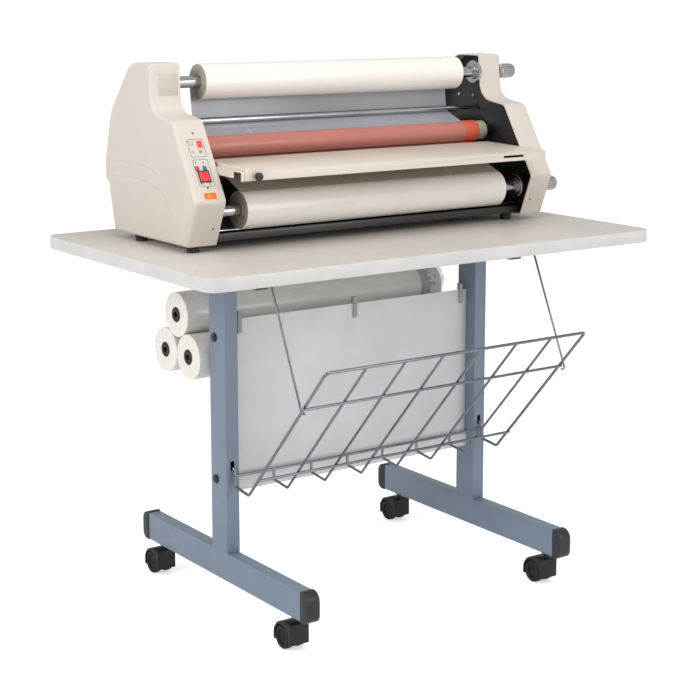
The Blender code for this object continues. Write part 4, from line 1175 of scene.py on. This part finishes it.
# %% Friction knobs
KNOB_STEEL = turned_steel("knob_bright_steel", (0.52, 0.52, 0.53), 0.26)
for where in ("top", "bottom"):
    low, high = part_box(f"{where}_tension_knob")
    y, z, radius = MANDRELS[where].y, MANDRELS[where].z, (high.z - low.z) / 2
    length = high.x - low.x
    profile = [(6.2 * MM, 0.0), (radius - 4.5 * MM, 0.0), (radius - 3.5 * MM, 1.0 * MM),
               (radius - 3.5 * MM, 5.0 * MM), (radius - 1.2 * MM, 6.0 * MM), (radius, 7.4 * MM),
               (radius, length * 0.42), (radius, length * 0.80),
               (radius - 1.0 * MM, length - 2.6 * MM),
               (radius - 3.0 * MM, length - 1.0 * MM), (radius - 5.0 * MM, length - 0.4 * MM),
               (6.2 * MM, length - 0.4 * MM), (6.2 * MM, 0.0)]
    knob = turned(f"{where}_friction_knob", (low.x, y, z), "X", profile, 200)
    fluted(knob, Vector((0, y, z)), 0, 20, 1.5 * MM, radius - 2.2 * MM)
    nut = turned("lock_nut", (high.x, y, z), "X", [(0.0, 1.6 * MM), (3.4 * MM, 1.6 * MM),
                                                   (5.4 * MM, 0.6 * MM), (6.1 * MM, -1.6 * MM),
                                                   (0.0, -1.6 * MM)], 6)
    finished(joined(f"{where}_knurled_knob", knob, nut), KNOB_STEEL, f"{where}_knob",
             [f"{where}_tension_knob"])

# %% [markdown]
# ## Rollers
#
# The two laminating rollers are silicone rubber moulded on steel. The film covers the
# middle of them and only a strip of bare rubber shows at each end. The rubber is soft
# looking: a broad dull highlight with faint mottling.

# %% Laminating rollers
SILICONE = Finish("orange_silicone_rubber", tint(222, 104, 76), 0.34, Subsurface_Weight=0.04,
                  Subsurface_Radius=(0.004, 0.002, 0.001))
SILICONE.drift(18.0, 0.06)
SILICONE.gloss(60.0, 0.28, 0.42)
SILICONE.bump(SILICONE.noise(500.0, 3.0), 0.12, 0.15 * MM)
SLEEVE_LOW, SLEEVE_HIGH = -0.3670, 0.4020
HUB_END, COLLAR_LOW, COLLAR_HIGH = 0.4260, 0.4275, 0.4450
ROLLER_R, SHAFT_R = 24 * MM, 6.0 * MM
ROLLERS = {"upper": Vector((0, 0.0974, 0.9895)), "lower": Vector((0, 0.0974, 0.9411))}
for where in ("upper", "lower"):
    node = f"{where}_laminating_roller"
    low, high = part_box(node)
    centre, radius = ROLLERS[where], ROLLER_R
    sleeve = turned(f"{where}_silicone_sleeve", centre, "X",
                    [(radius - 6 * MM, SLEEVE_LOW), (radius - 2.5 * MM, SLEEVE_LOW),
                     (radius - 0.6 * MM, SLEEVE_LOW + 0.8 * MM), (radius, SLEEVE_LOW + 3 * MM),
                     (radius, 0.0), (radius, SLEEVE_HIGH - 3 * MM),
                     (radius - 0.6 * MM, SLEEVE_HIGH - 0.8 * MM), (radius - 2.5 * MM, SLEEVE_HIGH),
                     (radius - 6 * MM, SLEEVE_HIGH), (radius - 6 * MM, SLEEVE_LOW)], 128)
    finished(sleeve, SILICONE.material, f"{where}_laminating", [node])
    hub = turned(f"{where}_roller_hub", centre, "X",
                 [(0.0, low.x), (SHAFT_R - 0.8 * MM, low.x), (SHAFT_R, low.x + 0.8 * MM),
                  (SHAFT_R, SLEEVE_LOW - 6 * MM), (radius - 7 * MM, SLEEVE_LOW - 5.4 * MM),
                  (radius - 6 * MM, SLEEVE_LOW - 4 * MM), (radius - 6 * MM, SLEEVE_HIGH),
                  (radius - 2 * MM, SLEEVE_HIGH + 0.4 * MM), (radius - 2 * MM, HUB_END - 0.8 * MM),
                  (radius - 3 * MM, HUB_END), (SHAFT_R, HUB_END), (SHAFT_R, high.x - 0.8 * MM),
                  (SHAFT_R - 0.8 * MM, high.x), (0.0, high.x)], 96)
    # The hub's pale colour is a painted reflection of bright steel.
    finished(hub, HUB_PAINTED_SHINE, f"{where}_laminating")
    collar = turned(f"{where}_bearing_collar", centre, "X",
                    [(6.05 * MM, COLLAR_LOW), (12 * MM, COLLAR_LOW), (13 * MM, COLLAR_LOW + 1 * MM),
                     (13 * MM, COLLAR_LOW + 7 * MM), (15.5 * MM, COLLAR_LOW + 7.5 * MM),
                     (15.5 * MM, COLLAR_LOW + 9.7 * MM), (13 * MM, COLLAR_LOW + 10.2 * MM),
                     (13 * MM, COLLAR_HIGH - 1 * MM), (12 * MM, COLLAR_HIGH),
                     (6.05 * MM, COLLAR_HIGH), (6.05 * MM, COLLAR_LOW)], 64)
    finished(collar, COLLAR_BLACK, f"{where}_laminating")
gap = ROLLERS["upper"].z - ROLLERS["lower"].z - 2 * ROLLER_R
print("gap between the rollers:", round(gap / MM, 2), "mm")

# %% [markdown]
# A gear starts as its outline: the four points of one tooth, repeated round the rim. The
# outline is one face, which is extruded to the width of the gear, and a rod then cuts
# the bore for the shaft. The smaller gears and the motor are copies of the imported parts.

# %% Gears on the far side
TOOTH_SHARE = 0.85                # how much of a full tooth's height is modelled


def gear_wheel(name, centre, x_low, x_high, pitch_radius, teeth, bore):
    """A spur gear with straight-sided teeth, modelled in place about the X axis."""
    rim, module = [], 2 * pitch_radius / teeth
    for k in range(teeth):
        for share, reach in ((-0.30, -1.15), (-0.16, 0.90), (0.16, 0.90), (0.30, -1.15)):
            angle = math.tau * (k + share) / teeth
            radius = pitch_radius + reach * TOOTH_SHARE * module
            rim.append((x_low, centre.y + radius * math.sin(angle),
                        centre.z + radius * math.cos(angle)))
    gear = from_points(name, rim, (), [list(range(len(rim)))])
    start_edit(gear)
    bpy.ops.mesh.select_all(action="SELECT")
    bpy.ops.mesh.extrude_region_move(TRANSFORM_OT_translate={"value": (x_high - x_low, 0, 0)})
    stop_edit()
    sound(gear)
    drilled(gear, [turned("hole", centre, "X",
                          rod_profile(bore, x_low - 5 * MM, x_high + 5 * MM), 40)])
    return round_edges(gear, 0.25 * MM, 1, 30)


GEAR_LOW, GEAR_HIGH = 0.4585, 0.4665
for where in ("upper", "lower"):
    gear = gear_wheel(f"{where}_roller_gear", ROLLERS[where], GEAR_LOW, GEAR_HIGH,
                      pitch_radius=24.2 * MM, teeth=32, bore=6.1 * MM)
    finished(gear, GEAR_STEEL, f"{where}_laminating")
for node, finish, bevel in (("train_gear", GEAR_STEEL, 0.2 * MM),
                            ("motor_pinion", GEAR_STEEL, 0.2 * MM), ("drive_motor", ZINC, 0.8 * MM)):
    dressed(node, finish, f"{node}_skin", bevel, 2, 40)

# %% [markdown]
# The pull rollers stand behind and are black rubber. The idler bar between the top
# supply and the upper roller is ground bright steel, and so is the tie bar.

# %% Pull rollers, idler and tie bar
PULL_RUBBER = rubber("pull_roller_rubber", tint(52, 50, 50), 0.60)
for where in ("upper", "lower"):
    dressed(f"{where}_pull_roller", PULL_RUBBER, f"{where}_rear_roller", 0.8 * MM, 3, 40)
IDLER_LOW, IDLER_HIGH, STUB = -0.3495, 0.3845, 4 * MM


def chamfered(radius, low, high, cut=0.6 * MM):
    """The outline of a bar whose two rims are cut back a little."""
    return [(radius - cut, low), (radius, low + cut), (radius, high - cut), (radius - cut, high)]


low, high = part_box("film_idler")
IDLER_PROFILE = [(0.0, low.x), (STUB, low.x), (STUB, IDLER_LOW),
                 *chamfered(6.7 * MM, IDLER_LOW, IDLER_HIGH),
                 (STUB, IDLER_HIGH), (STUB, high.x), (0.0, high.x)]
low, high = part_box("tie_bar")
TIE_PROFILE = [(0.0, low.x), *chamfered(5.0 * MM, low.x, high.x), (0.0, high.x)]
for node, name, profile in (("film_idler", "web_idler", IDLER_PROFILE),
                            ("tie_bar", "cheek_tie_bar", TIE_PROFILE)):
    bar = turned(name, (0, *circle_of(node)[0]), "X", profile, 64)
    finished(bar, SHAFT_STEEL, BODY_OF[node], [node])

# %% [markdown]
# ## The film path
#
# The clear film is a long thin sheet bent round bars. Its route is drawn from the side
# as points, pushed across to its width, and given a very small thickness. The upper web
# comes off the back of the top roll, passes behind the idler and lies on the front of the
# upper roller. The lower web comes off the front of the bottom roll and lies on the front
# of the lower roller. They meet in the nip and leave to the rear as one strip.

# %% Film webs
def tangent_points(first, first_r, second, second_r, side):
    """Where a straight line touches two circles in the y-z plane, both on one side of it
    when the radii have one sign."""
    across = Vector((second[0] - first[0], second[1] - first[1]))
    gap, lean = across.length, math.atan2(across.y, across.x)
    turn = lean + side * math.acos((first_r - second_r) / gap)
    way = Vector((math.cos(turn), math.sin(turn)))
    return Vector(first) + way * first_r, Vector(second) + way * second_r


def arc_points(centre, radius, start, end, steps, clockwise):
    """Points round a circle from the place start to the place end."""
    first = math.atan2(start[1] - centre[1], start[0] - centre[0])
    last = math.atan2(end[1] - centre[1], end[0] - centre[0])
    if clockwise and last > first:
        last -= math.tau
    if not clockwise and last < first:
        last += math.tau
    angles = [first + (last - first) * k / steps for k in range(steps + 1)]
    return [Vector((centre[0] + radius * math.cos(a), centre[1] + radius * math.sin(a)))
            for a in angles]


WEB_THICK = 0.12 * MM


def film_sheet(name, route, x_low, x_high, thick=WEB_THICK, lanes=12):
    """A sheet along a route of (y, z) points, from x_low to x_high."""
    verts, faces = [], []
    for y, z in route:
        for k in range(lanes + 1):
            verts.append((x_low + (x_high - x_low) * k / lanes, y, z))
    for i in range(len(route) - 1):
        for k in range(lanes):
            a = i * (lanes + 1) + k
            faces.append((a, a + 1, a + lanes + 2, a + lanes + 1))
    sheet = from_points(name, verts, (), faces)
    apply_modifier(sheet, "SOLIDIFY", thickness=thick, offset=0.0)
    return shade(sound(sheet), 60)


LIFT = 0.30 * MM                # how far the web's middle is above what it lies on
TOP_ROLL, TOP_R = circle_of("top_film_roll")
LOW_ROLL, LOW_R = circle_of("bottom_film_roll")
IDLER, IDLER_R = circle_of("film_idler")
UPPER, LOWER = tuple(ROLLERS["upper"].yz), tuple(ROLLERS["lower"].yz)
NIP = (UPPER[0], (UPPER[1] + LOWER[1]) / 2)
low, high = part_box("top_film_roll")
WEB_LOW, WEB_HIGH = low.x + 1 * MM, high.x - 1 * MM

leave, reach = tangent_points(TOP_ROLL, TOP_R - 0.4 * MM, IDLER, IDLER_R + LIFT, 1)
off, on = tangent_points(IDLER, IDLER_R + LIFT, UPPER, -(ROLLER_R + LIFT), 1)
IDLER_STEPS = 6
upper_route = [leave, (leave + reach) / 2]
upper_route += arc_points(IDLER, IDLER_R + LIFT, reach, off, IDLER_STEPS, True)
upper_route += arc_points(UPPER, ROLLER_R + LIFT, on, NIP, 28, False)
upper_route[-1] = Vector((NIP[0], NIP[1] + WEB_THICK))
rise, lay = tangent_points(LOW_ROLL, LOW_R - 0.4 * MM, LOWER, ROLLER_R + LIFT, 1)
lower_route = [rise, (rise + lay) / 2] + arc_points(LOWER, ROLLER_R + LIFT, lay, NIP, 14, True)
lower_route[-1] = Vector((NIP[0], NIP[1] - WEB_THICK))
PULL, _ = circle_of("upper_pull_roller")
strip_route = [NIP, ((NIP[0] + PULL[0]) / 2, NIP[1]), (PULL[0], NIP[1]), (PULL[0] + 9 * MM, NIP[1])]
print("upper web meets its roller at", on, "and leaves the idler at", off)

# %% [markdown]
# Clear film over a coloured roller hardly hides it. It only adds a thin pale gloss.
# Where it hangs free it looks grey with soft lengthwise bands of reflected light.

# %% Film finishes
def web_film(name, colour, alpha, gloss=0.16):
    film = Finish(name, colour, gloss, Coat_Weight=0.4, Coat_Roughness=0.08)
    film.drift(3.0, 0.07, (1, 0.4, 0.4))
    film.gloss(6.0, gloss - 0.05, gloss + 0.12, (4, 1, 1))
    film.bump(film.noise(9.0, 2.0, (4, 0.6, 0.6)), 0.04, 0.6 * MM)
    film.set("Alpha", alpha)
    return film.material


GREY_WEB = web_film("free_web_film", tint(172, 172, 180), 0.88)
LAID_WEB = web_film("laid_web_film", tint(206, 152, 142), 0.34)
LOW_WEB = web_film("low_web_film", tint(206, 200, 188), 0.55)

on_roller = 2 + IDLER_STEPS + 1   # number of the point where the upper web meets its roller
free_web = film_sheet("upper_free_web", upper_route[:on_roller + 1], WEB_LOW, WEB_HIGH)
laid_web = film_sheet("upper_laid_web", upper_route[on_roller:], WEB_LOW, WEB_HIGH)
low_free = film_sheet("lower_free_web", lower_route[:3], WEB_LOW, WEB_HIGH)
low_laid = film_sheet("lower_laid_web", lower_route[2:], WEB_LOW, WEB_HIGH)
strip = film_sheet("laminated_strip", strip_route, WEB_LOW, WEB_HIGH, 0.25 * MM)
for sheet, finish in ((free_web, GREY_WEB), (laid_web, LAID_WEB), (low_free, LOW_WEB),
                      (low_laid, LAID_WEB), (strip, LOW_WEB)):
    finished(sheet, finish, ROOT)

# %% [markdown]
# ## The feed tray
#
# The tray is bent sheet: a sloping board with a turned-down lip in front and a flange
# at each end. A slot runs near its right end for the edge guide's screw.

# %% Tray and guide
dressed("feed_tray", TRAY_CREAM, "feed_board", 0.45 * MM, 2)
dressed("edge_guide", TRAY_CREAM, "guide_fence", 0.45 * MM, 2)
low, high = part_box("guide_knob")
y, z = low.y, (low.z + high.z) / 2
middle_x, knob_r = (low.x + high.x) / 2, (high.z - low.z) / 2
length = high.y - low.y
profile = [(0.0, 0.0), (knob_r - 3.0 * MM, 0.0), (knob_r - 1.4 * MM, 0.3 * MM),
           (knob_r - 0.4 * MM, 1.2 * MM), (knob_r, 2.4 * MM), (knob_r, length * 0.55),
           (knob_r - 1.5 * MM, length * 0.62), (3.2 * MM, length * 0.66), (3.0 * MM, length),
           (0.0, length)]
knob = turned("guide_screw_knob", (middle_x, y, z), "Y", profile, 144)
fluted(knob, Vector((middle_x, 0, z)), 1, 12, 1.5 * MM, knob_r - 0.9 * MM)
finished(knob, COLLAR_BLACK, "guide_screw", ["guide_knob"])
print("guide knob radius:", round(knob_r / MM, 1), "mm")

# %% [markdown]
# ## Small things
#
# The power inlet at the back, the pins that the basket's rods hang from, and the torn
# plastic bags that the spare rolls are still wrapped in.

# %% Inlet and rod pins
dressed("power_inlet", COLLAR_BLACK, "power_socket", 0.4 * MM, 2)
for side in SIDES:
    top = Vector(JOINTS[f"{side}_rod_swing"]["pos_m"])
    pin = turned(f"{side}_rod_pin", top, "X",
                 [(0.0, -5 * MM), (3.6 * MM, -5 * MM), (4.4 * MM, -4.2 * MM), (4.4 * MM, 4.2 * MM),
                  (3.6 * MM, 5 * MM), (0.0, 5 * MM)], 40)
    finished(pin, BLUE_GREY, ROOT)

# %% [markdown]
# A bag end is a short tube of very thin film, gathered and creased. The tube is turned
# with many columns, and each point is then moved in and out by smooth noise that grows
# away from the roll.

# %% Bag ends on the spare rolls
BAG = web_film("bag_film", tint(206, 206, 204), 0.34, 0.14)


def bag_end(name, y, z, radius, x_start, x_end, seed):
    steps = 26
    profile = [(radius + 0.4 * MM, x_start + (x_end - x_start) * k / steps) for k in range(steps + 1)]
    bag = turned(name, (0, y, z), "X", profile, 128)
    for vertex in bag.data.vertices:
        way = (vertex.co.x - x_start) / (x_end - x_start)
        out = Vector((0, vertex.co.y - y, vertex.co.z - z))
        turn = math.atan2(out.z, out.y)
        seat = Vector((way * 2.2, 1.6 * math.cos(turn), 1.6 * math.sin(turn))) + Vector((seed, 0, 0))
        crease = abs(smooth_noise.noise(seat * 2.2)) + 0.5 * smooth_noise.noise(seat * 5.0)
        pull = 1.0 + way * (0.10 * crease - 0.10 * way)
        vertex.co.y, vertex.co.z = y + out.y * pull, z + out.z * pull
        vertex.co.x += way * 9 * MM * smooth_noise.noise(seat * 1.5)
    apply_modifier(bag, "SOLIDIFY", thickness=0.1 * MM, offset=1.0)
    return shade(bag, 70)


for k, where in enumerate(("front", "rear", "top")):
    (y, z), radius = circle_of(f"{where}_spare_roll")
    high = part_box(f"{where}_spare_roll")[1]
    bag = bag_end(f"{where}_bag_end", y, z, radius, high.x - 60 * MM, high.x + 9 * MM, 3.7 * k)
    finished(bag, BAG, f"{where}_roll")
print("pieces made:", len(made))

# %% [markdown]
# ## The studio
#
# A pale floor meets a pale background. Both look a little brighter than the light that
# they throw on the machine, so that they stay plain and pale without washing it out. A
# Light Path node makes that difference, on the floor and in the background only.

# %% Floor and background
FLOOR_GLOW, SKY_LIGHT, SKY_SEEN = 0.50, 0.58, 1.05
FLOOR = Finish("studio_floor", tint(250, 250, 250), 0.9)
FLOOR.drift(2.0, 0.01)
FLOOR.set("Emission Color", (1.0, 1.0, 1.0, 1.0))
sight = FLOOR.nodes.new("ShaderNodeLightPath")
FLOOR.link(FLOOR.spread(sight.outputs["Is Camera Ray"], 0.0, FLOOR_GLOW, 0.0, 1.0),
           "Emission Strength")
floor = block("studio_floor", (-14, -14, -0.02), (14, 14, 0.0))
floor.data.materials.append(FLOOR.material)

world = bpy.data.worlds.new("studio")
bpy.context.scene.world = world
world.use_nodes = True
background = world.node_tree.nodes["Background"]
background.inputs["Color"].default_value = (1.0, 1.0, 1.0, 1.0)
seen = world.node_tree.nodes.new("ShaderNodeLightPath")
strength = world.node_tree.nodes.new("ShaderNodeMapRange")
strength.inputs["To Min"].default_value = SKY_LIGHT
strength.inputs["To Max"].default_value = SKY_SEEN
world.node_tree.links.new(seen.outputs["Is Camera Ray"], strength.inputs["Value"])
world.node_tree.links.new(strength.outputs["Result"], background.inputs["Strength"])

# %% [markdown]
# Three soft lamps: a large one from the left, a weaker one from the front right, and
# one above that lights the table and the tops of the housings.

# %% Lamps
def lamp(name, place, target, size, power):
    light = bpy.data.lights.new(name, "AREA")
    light.shape = "SQUARE"
    light.size = size
    light.energy = power
    obj = linked(name, light)
    obj.location = place
    obj.rotation_euler = (Vector(target) - Vector(place)).to_track_quat("-Z", "Y").to_euler()
    return obj


MIDDLE = (0.0, 0.1, 0.8)
lamp("key_lamp", (-3.8, -0.2, 2.1), MIDDLE, 1.8, 60)
lamp("front_lamp", (1.2, -3.8, 1.8), MIDDLE, 2.2, 44)
lamp("top_lamp", (-0.3, -1.0, 2.9), MIDDLE, 1.6, 23)

# %% [markdown]
# The camera stands to the left and in front of the machine, a little above it, with a
# long lens. It is described by its place, the way it looks and its focal length.

# %% Camera
YAW, PITCH = math.radians(35.2758), math.radians(9.8674)
camera_data = bpy.data.cameras.new("camera")
camera_data.sensor_width = 36.0
camera_data.lens = 85.295
camera_data.shift_y = -0.1
camera_data.clip_end = 60.0
camera = linked("camera", camera_data)
camera.location = (-2.0788, -2.9084, 1.3094)
ahead = Vector((math.sin(YAW) * math.cos(PITCH), math.cos(YAW) * math.cos(PITCH), -math.sin(PITCH)))
camera.rotation_euler = ahead.to_track_quat("-Z", "Y").to_euler()
bpy.context.scene.camera = camera
bpy.context.scene.view_settings.view_transform = "Standard"
